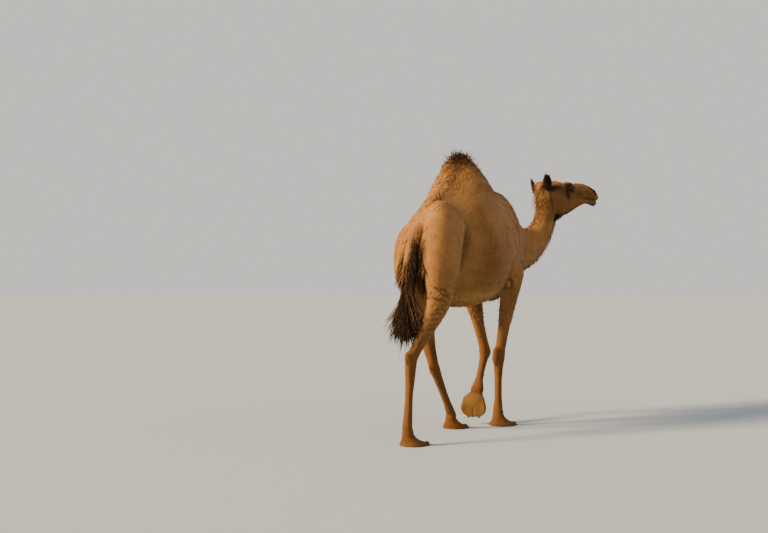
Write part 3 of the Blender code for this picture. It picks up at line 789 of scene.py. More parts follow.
def sculpt_trunk(work: Sculptor) -> None:
    """Shoulder, ribs, flank, haunch and the folds between them."""
    walk = work.walk
    thigh_edge = {
        -1: [(0.18, 0.27, 1.63), (0.150, 0.275, 1.54), (0.115, 0.28, 1.43), (0.082, 0.27, 1.33),
             (0.040, 0.25, 1.22), (0.008, 0.23, 1.14), (-0.03, 0.20, 1.05)],
        1: [(0.20, 0.25, 1.60), (0.225, 0.265, 1.45), (0.24, 0.265, 1.30), (0.245, 0.25, 1.18),
            (0.235, 0.21, 1.07)],
    }
    for side in SIDES:
        work.groove(flattened(walk, side, 0.12), level(thigh_edge[side]), 0.019, 0.017, 0.5)
        work.swell(walk, (0.15, side * 0.23, 1.68), (0.07, 0.06, 0.06), 0.008)  # point of the hip
        work.swell(walk, (-0.19, side * 0.10, 1.49), (0.05, 0.06, 0.06), 0.010)  # pin bone
        work.swell(walk, (0.24, side * 0.27, 1.60), (0.08, 0.08, 0.10), -0.010)  # hollow flank
        ridge = outward([(1.07, 0.13, 1.83), (1.03, 0.22, 1.62), (1.05, 0.27, 1.40)], side)
        work.moved += 0.008 * streak(walk, ridge, 0.035)  # spine of the shoulder blade
        front = outward([(1.24, 0.14, 1.78), (1.235, 0.19, 1.58), (1.21, 0.21, 1.36)], side)
        work.groove(walk, front, 0.030, 0.006)
        behind = outward([(0.88, 0.19, 1.78), (0.86, 0.27, 1.58), (0.84, 0.30, 1.40)], side)
        work.groove(walk, behind, 0.034, 0.004)
        breast = outward([(0.85, 0.29, 1.38), (0.80, 0.27, 1.30), (0.765, 0.25, 1.20),
                          (0.75, 0.21, 1.10), (0.73, 0.15, 1.04)], side)
        work.groove(flattened(walk, side, 0.10), level(breast), 0.017, 0.014, 0.6)  # behind the elbow
        work.swell(walk, (0.85, side * 0.24, 1.17), (0.055, 0.06, 0.075), -0.014)
        for k in range(8):  # ribs show faintly
            x = 0.34 + 0.062 * k
            rib = outward([(x + 0.05, 0.27, 1.66), (x + 0.01, 0.34, 1.45), (x - 0.05, 0.33, 1.24)], side)
            work.groove(walk, rib, 0.014, 0.0022, 0.4)
        work.fold((0.90, side * 0.25, 1.205), (0.10, 0.07, 0.05), 0.2, 0.006, 0.007)
        work.fold((0.93, side * 0.25, 1.245), (0.10, 0.07, 0.05), 0.1, 0.006, 0.005)
    work.swell(walk, (0.46, 0.0, 2.17), (0.10, 0.05, 0.05), -0.030)  # hair fills out the tip


def sculpt_legs(work: Sculptor) -> None:
    """Tendons, callused joints, and the wrinkles of the leg that pushes off."""
    walk = work.walk
    for leg in LEGS:
        out = leg.side
        if leg.is_hind():
            for side in SIDES:
                shift = (-0.020, side * 0.035, 0.012)
                tendon = [along(leg.upper, leg.middle, t, shift) for t in (0.45, 0.70, 0.93)]
                work.groove(walk, tendon, 0.012, 0.011)
            stifle = along(leg.root, leg.upper, 0.97, (0.125, 0.0, 0.0))
            work.swell(walk, stifle, (0.04, 0.05, 0.05), 0.006)
            rear = [along(leg.root, leg.upper, t, (-0.085, out * 0.09, 0.0)) for t in (0.05, 0.45, 0.9)]
            work.groove(walk, rear, 0.022, 0.006)
        else:
            work.swell(walk, leg.knee_pad(), (0.035, 0.045, 0.050), 0.006)
            split = [along(leg.upper, leg.middle, t, (0.01, out * 0.06, 0.0)) for t in (0.1, 0.45, 0.8)]
            work.groove(walk, split, 0.012, 0.006)
        for side in SIDES:
            shift = (-0.010, side * 0.03, 0.0)
            cannon = [along(leg.middle, leg.fetlock, t, shift) for t in (0.15, 0.5, 0.9)]
            work.groove(walk, cannon, 0.009, 0.006)
        if not leg.is_hind():
            ring = callus_gap(walk, out)
            moat = np.exp(-(((ring - 0.034) / 0.007) ** 2))
            work.moved += 0.009 * np.exp(-((ring / 0.024) ** 4)) - 0.009 * moat
    for z, slope, depth, ahead in THIGH_FOLDS:
        work.fold((ahead, THIGH_OUT, z), THIGH_PATCH, slope, 0.008, 1.7 * depth)
    for z, ahead in ((1.06, 0.02), (1.01, 0.03), (0.955, 0.05), (0.90, 0.06)):
        work.fold((ahead, 0.20, z), (0.11, 0.10, 0.05), -0.1, 0.007, 0.005)


def sculpt_neck(work: Sculptor) -> None:
    """Windpipe, the grooves beside it and the creases where the neck turns up."""
    walk = work.walk
    for side in SIDES:
        groove = [(x + 0.02, y + side * 0.105, z - 0.045) for x, y, z in NECK_LINE[1:4]]
        groove += [(x + 0.045, y + side * 0.085, z - 0.01) for x, y, z in NECK_LINE[4:7]]
        work.groove(walk, groove, 0.020, 0.008)
        crest = [(x - 0.06, y + side * 0.055, z + 0.06) for x, y, z in NECK_LINE[2:7]]
        work.groove(walk, crest, 0.018, 0.004)
    for k, (x, z) in enumerate(((1.56, 1.62), (1.60, 1.67), (1.615, 1.72))):
        crease = [(x, -0.07 - 0.03 * k + side * 0.07, z - 0.03 * abs(side)) for side in (-1, 0, 1)]
        work.groove(walk, crease, 0.009, 0.004)


def sculpt_head(work: Sculptor) -> None:
    """Sockets, cheeks, nostrils, lips and the crease behind the jaw."""
    head = work.head
    for side in SIDES:
        beside = flattened(head, side, 0.025)

        def mirror(x: float, y: float, z: float) -> Point:
            """A place of this side, given as (ahead, out, up)."""
            return (x, side * y, z)

        def groove(line: Sequence[Point], width: float, depth: float) -> None:
            """A crease of this side, given as places (ahead, out, up)."""
            work.groove(head, outward(line, side), width, depth)

        work.swell(head, mirror(0.165, 0.092, 0.080), (0.045, 0.025, 0.016), 0.005)  # brow
        work.swell(head, mirror(0.200, 0.100, 0.004), (0.050, 0.025, 0.014), 0.004)  # lower rim
        work.swell(head, mirror(0.105, 0.092, 0.060), (0.034, 0.030, 0.028), -0.006)  # temple
        work.swell(head, mirror(0.262, 0.066, 0.022), (0.045, 0.030, 0.028), -0.007)
        work.swell(head, mirror(0.350, 0.056, 0.045), (0.060, 0.030, 0.022), -0.003)
        cheekbone = outward([(0.215, 0.09, -0.004), (0.27, 0.07, -0.012), (0.33, 0.058, -0.014)], side)
        work.moved += 0.005 * streak(head, cheekbone, 0.012)
        nose_edge = outward([(0.25, 0.032, 0.088), (0.34, 0.03, 0.095), (0.43, 0.03, 0.088)], side)
        work.moved += 0.003 * streak(head, nose_edge, 0.012)
        slit = [(0.440, 0.055, 0.042), (0.458, 0.060, 0.030), (0.477, 0.058, 0.012), (0.488, 0.050, -0.002)]
        work.groove(beside, level(slit), 0.0050, 0.010, 0.22)
        work.swell(head, mirror(0.481, 0.055, 0.030), (0.022, 0.020, 0.022), 0.004)  # wing of the nostril
        work.swell(head, mirror(0.444, 0.058, 0.008), (0.026, 0.020, 0.020), 0.003)
        lips = [(0.375, 0.054, -0.044), (0.420, 0.057, -0.049), (0.470, 0.056, -0.053),
                (0.510, 0.050, -0.056)]
        work.groove(beside, level(lips), 0.0042, 0.008, 0.4)
        work.swell(head, mirror(0.508, 0.040, -0.036), (0.026, 0.022, 0.016), 0.004)  # lobe of the lip
        groove([(0.400, 0.056, -0.020), (0.386, 0.056, -0.048), (0.378, 0.050, -0.080)], 0.006, 0.004)
        groove([(0.418, 0.056, -0.010), (0.440, 0.058, -0.022), (0.490, 0.055, -0.026)], 0.006, 0.003)
        cheek = [(0.185, 0.082, -0.030), (0.198, 0.072, -0.080), (0.185, 0.065, -0.125),
                 (0.150, 0.062, -0.165)]
        groove(cheek, 0.011, 0.005)
        work.swell(head, mirror(0.100, 0.092, -0.070), (0.055, 0.030, 0.060), 0.005)  # chewing muscle
        jaw = [(-0.030, 0.085, 0.000), (-0.022, 0.092, -0.060), (0.000, 0.088, -0.130),
               (0.030, 0.070, -0.195)]
        groove(jaw, 0.013, 0.009)
        for k in range(3):  # wrinkles over the eye
            up = 0.010 * k
            groove([(0.150 - up, 0.090, 0.094 + up), (0.185, 0.094 - up, 0.098 + up),
                    (0.215, 0.082, 0.088 + up)], 0.0035, 0.0018)
        for k in range(3):  # creases of the muzzle
            on = 0.013 * k
            groove([(0.372 + on, 0.056, 0.050 - on), (0.400 + on, 0.060, 0.024 - on),
                    (0.408 + on, 0.060, 0.000 - on)], 0.0045, 0.002)
    work.groove(head, [(0.538, 0.0, 0.002), (0.550, 0.0, -0.020), (0.542, 0.0, -0.050)], 0.0045, 0.008, 0.2)
    work.swell(head, (0.120, 0.0, 0.110), (0.050, 0.025, 0.030), -0.003)
    work.swell(head, (0.505, 0.0, -0.108), (0.022, 0.028, 0.014), 0.004)  # chin


def sculpt_foot(work: Sculptor, leg: Leg, local: Array) -> None:
    """The cleft between a foot's toes, the rim of its pad and the swelling over its nails."""
    work.groove(local, [(0.130, 0.0, 0.004), (0.100, 0.0, 0.022), (0.055, 0.0, 0.040)], 0.009, 0.011, 0.3)
    for side in SIDES:
        work.swell(local, (0.088, side * 0.046, 0.028), (0.024, 0.022, 0.014), 0.004)
        edge = outward([(0.06, 0.08, 0.016), (0.02, 0.10, 0.018), (-0.04, 0.095, 0.018)], side)
        work.groove(local, edge, 0.006, 0.003)
    close = blob(local, (0.0, 0.0, 0.0), (0.19, 0.16, 0.08))
    rim = np.exp(-(((local[:, 2] - 0.013) / 0.0035) ** 2))
    work.moved -= 0.0030 * rim * close
    if leg.sole_back:  # the raised sole shows the groove between its halves
        for side in SIDES:
            work.swell(local, (0.015, side * 0.095, 0.010), (0.060, 0.030, 0.030), 0.010)
        work.groove(local, [(0.110, 0.0, 0.0), (0.060, 0.0, 0.0), (0.010, 0.0, 0.0)], 0.008, 0.005, 0.1)


def fill_cleft(leg: Leg, places: Array) -> Array:
    """How far each point moves ahead to fill the gap between a foot's toes down to a short cleft."""
    place = leg.foot_frame()
    local = in_frame(places, place)
    between = np.exp(-((local[:, 1] / 0.020) ** 2)) * rise(local[:, 0], 0.050, 0.080)
    near = (local[:, 0] < 0.14) * (np.abs(local[:, 1]) < 0.06) * (1 - rise(local[:, 2], 0.025, 0.045))
    ahead = np.array(place.to_3x3() @ Vector((1.0, 0.0, 0.0)))
    return (0.024 * between * near * (local[:, 2] > -0.02))[:, None] * ahead


def spread_ears(places: Array) -> Array:
    """How far each point moves to make the ears broader than their core, most of all in front."""
    head = in_frame(places, HEAD)
    moves = np.zeros_like(places)
    for line, across, ahead, behind in zip(EAR_LINES, EAR_ACROSS, (0.75, 0.45), (0.10, 0.35)):
        gap, where = line_distance(head, line)
        broad = np.array(across) / np.linalg.norm(across)
        axis = np.array(line[0]) + where[:, None] * (np.array(line[-1]) - np.array(line[0]))
        off = (head - axis) @ broad
        amount = np.where(off > 0, ahead, behind) * off * (1 - rise(gap, 0.036, 0.050))
        amount = amount * rise(where, 0.0, 0.14)
        turned = np.array(HEAD.to_3x3() @ Vector(broad))
        moves += amount[:, None] * turned * (np.sign(head[:, 1]) == np.sign(line[0][1]))[:, None]
    return moves


@dataclass
class Skin:
    """One closed skin for all of the flesh, with its markings."""

    body_voxel: float = 0.0068
    head_voxel: float = 0.0030
    seam_at: Point = (1.735, -0.146, 1.835)  # a level ring round the neck, walker's frame
    seam_reach: float = 0.25  # how far behind it the cut through the body part reaches
    most_triangles: int = 186000
    smooth_rounds: int = 36
    let_out_rounds: int = 24
    most_let_out: float = 0.012
    lump_size: float = 0.09
    lump_height: float = 0.0016
    eye_reaches: tuple[float, ...] = (0.055, 0.038)  # within which the faces at an eye are divided
    flesh: tuple[str, ...] = (
        "trunk", "neck", "head", "ear_left", "ear_right", "tail",
        *(f"leg_{leg.name}_{part}" for leg in LEGS for part in ("upper", "lower")),
        *(f"foot_{leg.name}" for leg in LEGS),
    )

    def half(self, name: str, nodes: Sequence[str], voxel: float, above: bool) -> bpy.types.Object:
        """Copies of nodes melted into one surface and cut open at the ring round the neck.

        Args:
            name: the new object's name.
            nodes: the CAD nodes to copy.
            voxel: the grain of the surface.
            above: whether to keep what lies above the ring, or what lies below it.

        Returns:
            The open surface.
        """
        obj = solid_copy(name, nodes)
        apply_modifier(obj, "REMESH", mode="VOXEL", voxel_size=voxel)
        seam = Vector(self.seam_at) + WALK
        for vert in obj.data.vertices:
            vert.select = above or vert.co.x > seam.x - self.seam_reach
        pick(obj)
        bpy.ops.object.mode_set(mode="EDIT")
        bpy.ops.mesh.select_mode(type="VERT")
        bpy.ops.mesh.bisect(
            plane_co=seam + Vector((0, 0, voxel if above else -voxel)), plane_no=(0.0, 0.0, 1.0),
            clear_inner=above, clear_outer=not above,
        )
        bpy.ops.object.mode_set(mode="OBJECT")
        return obj

    def melt(self) -> bpy.types.Object:
        """The smooth body: a fine head bridged to a coarser rest."""
        eyes = tuple("eye_" + eye.word for eye in EYES)
        ears = tuple("ear_" + eye.word for eye in EYES)
        upper = self.half("head_part", ("head", *ears, *eyes, "neck"), self.head_voxel, True)
        rest = tuple(node for node in self.flesh if node not in ears)
        lower = self.half("body_part", rest, self.body_voxel, False)
        pick(lower, upper)
        bpy.ops.object.join()
        bpy.ops.object.mode_set(mode="EDIT")
        bpy.ops.mesh.select_mode(type="EDGE")
        bpy.ops.mesh.select_all(action="DESELECT")
        bpy.ops.mesh.select_non_manifold()
        bpy.ops.mesh.bridge_edge_loops()
        bpy.ops.mesh.select_all(action="SELECT")
        bpy.ops.mesh.normals_make_consistent(inside=False)
        bpy.ops.object.mode_set(mode="OBJECT")
        return lower

    def refine(self, obj: bpy.types.Object, centre: Vector, reach: float) -> None:
        """Divides the faces within reach of a place once."""
        places = coordinates(obj)
        close = np.linalg.norm(places - np.array(centre), axis=1) < reach
        obj.data.vertices.foreach_set("select", close)
        obj.data.edges.foreach_set("select", np.zeros(len(obj.data.edges), bool))
        for polygon in obj.data.polygons:
            polygon.select = all(close[v] for v in polygon.vertices)
        pick(obj)
        bpy.ops.object.mode_set(mode="EDIT")
        bpy.ops.mesh.select_mode(type="FACE")
        bpy.ops.mesh.subdivide(number_cuts=1, smoothness=0.0)
        bpy.ops.object.mode_set(mode="OBJECT")

    def smooth(self, obj: bpy.types.Object) -> None:
        """Takes the facets out, and then lets the skin out again where that made it thinner."""
        places = coordinates(obj)
        head = in_frame(places, HEAD)
        walk = in_walk(places)
        low = 1 - rise(walk[:, 2], 0.05, 1.0)
        raised = blob(walk, LEGS[3].foot, (0.14, 0.14, 0.20))
        flat = BVHTree.FromPolygons(
            [tuple(p) for p in places], [tuple(f.vertices) for f in obj.data.polygons]
        )
        free = np.clip(1 - 0.92 * on_ears(head) - 0.65 * low - 0.5 * raised, 0.08, 1)
        settle(obj, self.smooth_rounds, free)
        places = coordinates(obj)
        normals = vertex_normals(obj)
        nearest = np.array([flat.find_nearest(Vector(p))[0] for p in places])
        short = ((nearest - places) * normals).sum(axis=1).clip(-self.most_let_out, self.most_let_out)
        set_coordinates(obj, places + normals * self.evened(obj, short, self.let_out_rounds)[:, None])

    def evened(self, obj: bpy.types.Object, values: Array, rounds: int) -> Array:
        """A number at each vertex, averaged over the surface round it."""
        edges = np.empty(len(obj.data.edges) * 2, np.int32)
        obj.data.edges.foreach_get("vertices", edges)
        a, b = edges.reshape(-1, 2).T
        count = len(values)
        degree = np.maximum(np.bincount(a, minlength=count) + np.bincount(b, minlength=count), 1)
        for _ in range(rounds):
            around = np.bincount(a, values[b], count) + np.bincount(b, values[a], count)
            values = 0.5 * values + 0.5 * around / degree
        return values

    def sculpt(self, obj: bpy.types.Object) -> None:
        """Gives the smooth body its forms and draws the lids over its eyes."""
        places = coordinates(obj)
        normals = vertex_normals(obj)
        work = Sculptor(in_walk(places), in_frame(places, HEAD))
        sculpt_trunk(work)
        sculpt_legs(work)
        sculpt_neck(work)
        sculpt_head(work)
        for leg in LEGS:
            sculpt_foot(work, leg, in_frame(places, leg.foot_frame()))
        is_head = rise(work.head[:, 0], -0.10, 0.02) * rise(work.walk[:, 2], 1.70, 1.78)
        work.moved += self.lump_height * noise_at(work.walk, self.lump_size) * (1 - 0.7 * is_head)
        work.moved -= self.coat_depth(work.walk, is_head)
        places = places + normals * work.moved[:, None]
        for leg in LEGS:
            places = places + fill_cleft(leg, places)
        places = places + spread_ears(places)
        for eye in EYES:
            places = eye.sculpt_lids(places)
        places[:, 2] = np.maximum(places[:, 2], 0.0)
        set_coordinates(obj, places)

    def coat_depth(self, walk: Array, is_head: Array) -> Array:
        """How far the skin lies under the coat's surface."""
        high = rise(walk[:, 2], 0.70, 1.10)
        return (0.0004 + 0.0030 * high) * (1 - 0.75 * is_head)

    def thin(self, obj: bpy.types.Object) -> None:
        """Thins the trunk's surface and spares head and feet."""
        places = coordinates(obj)
        head = in_frame(places, HEAD)
        spare = rise(head[:, 0], -0.12, -0.02) * rise(head[:, 2], -0.30, -0.24)
        feet = 1 - rise(in_walk(places)[:, 2], 0.08, 0.16)
        group = weights_to_group(obj, "thin", 1 - 0.85 * np.maximum(spare, 0.8 * feet))
        count = sum(len(polygon.vertices) - 2 for polygon in obj.data.polygons)
        apply_modifier(obj, "DECIMATE", ratio=min(1.0, self.most_triangles / count), vertex_group=group)
        obj.vertex_groups.clear()

    def unwrap(self, obj: bpy.types.Object) -> None:
        """Unwraps the skin by its own shape; the coat takes its colour places from this map."""
        pick(obj)
        obj.data.uv_layers.new(name=UV_NAME)
        bpy.ops.object.mode_set(mode="EDIT")
        bpy.ops.mesh.select_all(action="SELECT")
        bpy.ops.uv.smart_project(angle_limit=math.radians(66), island_margin=0.002)
        bpy.ops.object.mode_set(mode="OBJECT")

    def build(self) -> bpy.types.Object:
        """The finished skin."""
        skin = self.melt()
        self.smooth(skin)
        for eye in EYES:
            for reach in self.eye_reaches:
                self.refine(skin, eye.centre(), reach)
        self.sculpt(skin)
        self.thin(skin)
        self.unwrap(skin)
        skin.name = "skin"
        skin.data.name = "skin"
        pick(skin)
        bpy.ops.object.shade_smooth()
        return skin


# ---------------------------------------------------------------- markings
def markings(points: Array) -> dict[Mark, Array]:
    """Each marking's strength at world points, painted shade and highlight among them. Skin and coat both ask
    here.
    """
    walk = in_walk(points)
    head = in_frame(points, HEAD)
    x, y, z = walk.T
    count = len(points)
    made = {mark: np.zeros(count) for mark in Mark}
    on_head = rise(z, 1.66, 1.72) * rise(head[:, 0], -0.12, -0.04)
    dark, pale, warm, bare = (made[mark] for mark in (Mark.DARK, Mark.PALE, Mark.WARM, Mark.BARE))

    # the hump's tip and the dark hair down its ridge
    dark += 0.46 * rise(z, 2.04, 2.15)
    ridge = [(0.45, -0.015, 2.16), (0.33, -0.045, 2.05), (0.22, -0.07, 1.92), (0.13, -0.08, 1.84),
             (0.04, -0.06, 1.77)]
    gap, where = line_distance(walk, ridge)
    dark += (0.78 - 0.30 * where) * np.exp(-((gap / (0.060 - 0.01 * where)) ** 2))
    dark += 0.40 * streak(walk, [(0.45, 0.0, 2.16), (0.58, 0.0, 2.12), (0.72, 0.0, 2.02)], 0.05, 0)
    dark += 0.25 * streak(walk, [(0.80, 0.0, 1.97), (1.05, 0.0, 1.93), (1.30, 0.0, 1.78)], 0.05)

    # belly, flanks and the insides of the legs, with painted shade in their folds and hollows
    under = 0.55 * (1 - rise(z, 0.98, 1.16)) * rise(z, 0.92, 0.97)
    pale += under * rise(x, 0.10, 0.25) * (1 - rise(x, 0.75, 0.95))
    warm += 0.45 * (1 - rise(z, 1.02, 1.30)) * rise(z, 0.9, 0.96) * rise(x, 0.05, 0.2)
    warm += 0.95 * (1 - rise(z, 0.55, 1.00))
    # painted shade: a darker reddish tone over the middle of each flank
    for side in SIDES:
        warm += 0.75 * blob(walk, (0.38, side * 0.34, 1.34), (0.30, 0.22, 0.30))
    dark += 0.15 * (1 - rise(z, 0.10, 0.34))
    # painted shade in the thigh's wrinkles, darker where they are deeper
    for fold_z, slope, depth, ahead in THIGH_FOLDS:
        at = (ahead, THIGH_OUT, fold_z)
        off = fold_gap(walk, at, slope)
        dark += 40.0 * depth * np.exp(-((off / 0.007) ** 2)) * blob(walk, at, THIGH_PATCH)
    # painted shade along the crease behind each elbow, and a painted shadow in the hollow below it
    for side in SIDES:
        edge = [(0.80, 0.27, 1.32), (0.765, 0.25, 1.20), (0.75, 0.21, 1.10), (0.73, 0.15, 1.04)]
        dark += 0.40 * streak(flattened(walk, side, 0.10), level(edge), 0.018)
        dark += 0.55 * blob(walk, (0.815, side * 0.23, 1.12), (0.045, 0.06, 0.060))
    # painted shade just ahead of the right thigh's front edge, and a painted highlight along the edge itself
    flank = [(0.18, -0.27, 1.63), (0.150, -0.275, 1.54), (0.115, -0.28, 1.43), (0.082, -0.27, 1.33),
             (0.040, -0.25, 1.22), (0.008, -0.23, 1.14)]
    right = flattened(walk, -1, 0.12)
    dark += 0.42 * streak(right, [(a + 0.018, 0.0, c) for a, _, c in flank], 0.022)
    pale += 0.25 * streak(right, [(a - 0.030, 0.0, c) for a, _, c in flank], 0.022)
    for leg in LEGS:
        knee = np.linalg.norm(walk - np.array(leg.middle), axis=1)
        dark += 0.30 * np.exp(-((knee / 0.075) ** 2)) * rise(x - leg.middle[0], 0.0, 0.05)
        local = in_frame(points, leg.foot_frame())
        near_foot = blob(local, (0.01, 0.0, 0.02), (0.20, 0.16, 0.10))
        bare += 1.0 * (1 - rise(local[:, 2], 0.006, 0.018)) * (near_foot > 0.2)
        dark += 0.75 * rise(local[:, 0], 0.025, 0.095) * (near_foot > 0.1) * rise(local[:, 2], 0.002, 0.010)
        if not leg.is_hind():
            ring = callus_gap(walk, leg.side)
            bare += 0.5 * np.exp(-((ring / 0.026) ** 4))
            pale += 0.7 * np.exp(-((ring / 0.028) ** 4))
            # painted shade in the hollow ring round each elbow callus
            dark += 0.85 * np.exp(-(((ring - 0.037) / 0.009) ** 2))
            bare += 0.7 * blob(walk, leg.knee_pad(), (0.03, 0.035, 0.045))
    raised = LEGS[3]
    ankle = along(raised.fetlock, raised.foot, 0.35)
    dark += 0.85 * blob(walk, ankle, (0.070, 0.070, 0.070)) * (1 - np.clip(bare, 0, 1))
    bare += 1.0 * blob(walk, (0.96, 0.0, 1.00), (0.12, 0.09, 0.05))
    dark += 0.5 * streak(walk, [(0.84, -0.10, 1.03), (0.96, -0.12, 1.02), (1.08, -0.06, 1.03)], 0.02, 0)
    dark += 0.5 * streak(walk, [(0.84, 0.10, 1.03), (0.96, 0.12, 1.02), (1.08, 0.06, 1.03)], 0.02, 0)

    # the tail: a tan dock between dark fringes
    tail = (1 - rise(x, -0.26, -0.20)) * (1 - rise(z, 1.50, 1.56)) * rise(z, 0.66, 0.72)
    tail *= 1 - rise(np.abs(y), 0.10, 0.13)
    dark += 0.9 * tail * (1 - rise(z, 1.14, 1.26))
    dark += 0.16 * tail * rise(z, 1.20, 1.30)
    dark += 0.9 * tail * np.maximum(rise(-y, 0.004, 0.022), rise(y, 0.034, 0.044))

    # the head
    face = {mark: np.zeros(count) for mark in Mark}
    mirror = folded(head)
    face[Mark.DARK] += 0.92 * on_ears(head, 0.0, 0.18)
    band = [(-0.035, 0.080, 0.015), (0.030, 0.092, 0.035), (0.110, 0.100, 0.048),
            (0.190, 0.105, 0.050), (0.225, 0.090, 0.040)]
    face[Mark.DARK] += 0.85 * streak(mirror, band, 0.027, 0)
    eye_gap = np.linalg.norm(mirror - np.array(EYE_IN_HEAD), axis=1)
    face[Mark.DARK] += 0.75 * np.exp(-((eye_gap / 0.034) ** 4))
    cheek = flattened(mirror, 1, 0.025)
    below_eye = [(0.150, 0.0, 0.006), (0.170, 0.0, -0.018), (0.195, 0.0, -0.036)]
    face[Mark.DARK] += 0.80 * streak(cheek, below_eye, 0.023, 0)
    before_eye = [(0.205, 0.0, 0.012), (0.260, 0.0, 0.006), (0.330, 0.0, -0.008)]
    face[Mark.DARK] += 0.38 * streak(cheek, before_eye, 0.020, 0)
    face[Mark.WARM] += 0.42
    face[Mark.DARK] += 0.06
    face[Mark.DARK] += 0.43 * blob(mirror, (0.430, 0.05, 0.020), (0.150, 0.07, 0.09))
    # painted shade in the nostril slits
    slit = [(0.434, 0.055, 0.045), (0.458, 0.060, 0.030), (0.477, 0.058, 0.012), (0.490, 0.050, -0.005)]
    face[Mark.DARK] += 0.9 * streak(cheek, level(slit), 0.009, 0)
    # painted shade along the line between the lips
    lips = [(0.375, 0.054, -0.044), (0.420, 0.057, -0.049), (0.480, 0.054, -0.054), (0.530, 0.030, -0.056)]
    face[Mark.DARK] += 0.75 * streak(cheek, level(lips), 0.008, 0)
    face[Mark.PALE] += 0.40 * blob(mirror, (0.520, 0.03, -0.025), (0.035, 0.04, 0.022))
    nose = [(0.20, 0.0, 0.098), (0.33, 0.0, 0.105), (0.47, 0.0, 0.085)]
    face[Mark.DARK] += 0.35 * streak(mirror, nose, 0.03, 0)
    # darker along the underside of the jaw
    jaw = [(0.05, 0.02, -0.225), (0.20, 0.02, -0.195), (0.34, 0.02, -0.125), (0.50, 0.02, -0.105)]
    face[Mark.DARK] += 0.75 * streak(mirror, jaw, 0.030, 0)
    # painted shade in the crease behind the jaw
    crease = [(-0.035, 0.085, 0.010), (-0.022, 0.092, -0.060), (0.000, 0.088, -0.130), (0.035, 0.060, -0.200)]
    face[Mark.DARK] += 0.60 * streak(mirror, crease, 0.011, 0)
    face[Mark.DARK] += 0.70 * blob(mirror, (0.075, 0.0, -0.220), (0.075, 0.06, 0.032))
    face[Mark.DARK] += 0.90 * blob(mirror, (-0.004, 0.085, 0.036), (0.050, 0.045, 0.050))
    for mark, values in face.items():
        made[mark] = made[mark] * (1 - on_head) + values * on_head
    made[Mark.DARK] = np.maximum(made[Mark.DARK], 0.95 * on_ears(head, 0.0, 0.18))
    throat = [(1.80, -0.16, 1.74), (1.79, -0.13, 1.60), (1.72, -0.1, 1.44)]
    made[Mark.DARK] = made[Mark.DARK] + 0.55 * (1 - on_head) * streak(walk, throat, 0.06, 0)
    return {mark: np.clip(values, 0, 1) for mark, values in made.items()}


# ---------------------------------------------------------------- the lie of the hair
def nearest_direction(points: Array, line: Sequence[Point]) -> Array:
    """The direction, from a line's end back to its start, of the stretch nearest to each point."""
    best = np.full(len(points), np.inf)
    found = np.zeros_like(points)
    for stretch, _, gap in stretches(points, line):
        nearer = gap < best
        best[nearer] = gap[nearer]
        found[nearer] = -stretch / np.linalg.norm(stretch)
    return found


def unit(vectors: Array) -> Array:
    """The vectors brought to length 1."""
    return vectors / np.maximum(np.linalg.norm(vectors, axis=1), 1e-9)[:, None]


def hair_lie(points: Array, normals: Array) -> Array:
    """The way that the hair lies at world points, along the skin."""
    walk = in_walk(points)
    head = in_frame(points, HEAD)
    x, _, z = walk.T
    flow = np.tile(np.array((-0.62, 0.0, -0.78)), (len(points), 1))
    hump = rise(z, 1.75, 2.0)
    flow += hump[:, None] * np.array((0.25, 0.0, -0.5))
    legs = 1 - rise(z, 0.95, 1.15)
    flow = flow * (1 - legs)[:, None] + legs[:, None] * np.array((-0.12, 0.0, -1.0))
    neck = rise(x, 1.12, 1.34) * rise(z, 1.1, 1.2)
    flow = flow * (1 - neck)[:, None] + neck[:, None] * (
        nearest_direction(walk, NECK_LINE) + np.array((0, 0, -0.35))
    )
    turn = np.array(HEAD.to_3x3())
    back = np.tile(np.array((-1.0, 0.0, -0.25)), (len(points), 1))
    ears = on_ears(head)
    back = back * (1 - ears)[:, None] + ears[:, None] * np.array((-0.4, 0.0, 1.0))
    face = rise(head[:, 0], -0.08, 0.0) * rise(z, 1.68, 1.74)
    face = np.maximum(face, ears)
    flow = flow * (1 - face)[:, None] + face[:, None] * (back @ turn.T)
    flow -= (flow * normals).sum(axis=1)[:, None] * normals
    return unit(flow)


# ---------------------------------------------------------------- locks of hair
@dataclass
class SkinMap:
    """The skin as arrays, for hair to grow from."""

    corners: Array  # (triangles, 3) vertex numbers
    loops: Array  # (triangles, 3) corner numbers of the UV map
    points: Array
    normals: Array
    uv: Array
    areas: Array
    marks: dict[Mark, Array]

    @staticmethod
    def of(skin: bpy.types.Object, marks: dict[Mark, Array]) -> "SkinMap":
        """Reads a skin that is all triangles."""
        mesh = skin.data
        mesh.calc_loop_triangles()
        count = len(mesh.loop_triangles)
        corners = np.empty(count * 3, np.int32)
        loops = np.empty(count * 3, np.int32)
        areas = np.empty(count)
        mesh.loop_triangles.foreach_get("vertices", corners)
        mesh.loop_triangles.foreach_get("loops", loops)
        mesh.loop_triangles.foreach_get("area", areas)
        uv = np.empty(len(mesh.loops) * 2)
        mesh.uv_layers[UV_NAME].data.foreach_get("uv", uv)
        return SkinMap(
            corners.reshape(-1, 3), loops.reshape(-1, 3), coordinates(skin), vertex_normals(skin),
            uv.reshape(-1, 2), areas, marks,
        )


@dataclass
class Roots:
    """Where hairs grow, with the skin's normal, map place and markings there."""

    points: Array
    normals: Array
    uv: Array
    marks: dict[Mark, Array]


Mask = Callable[[Array], Array]


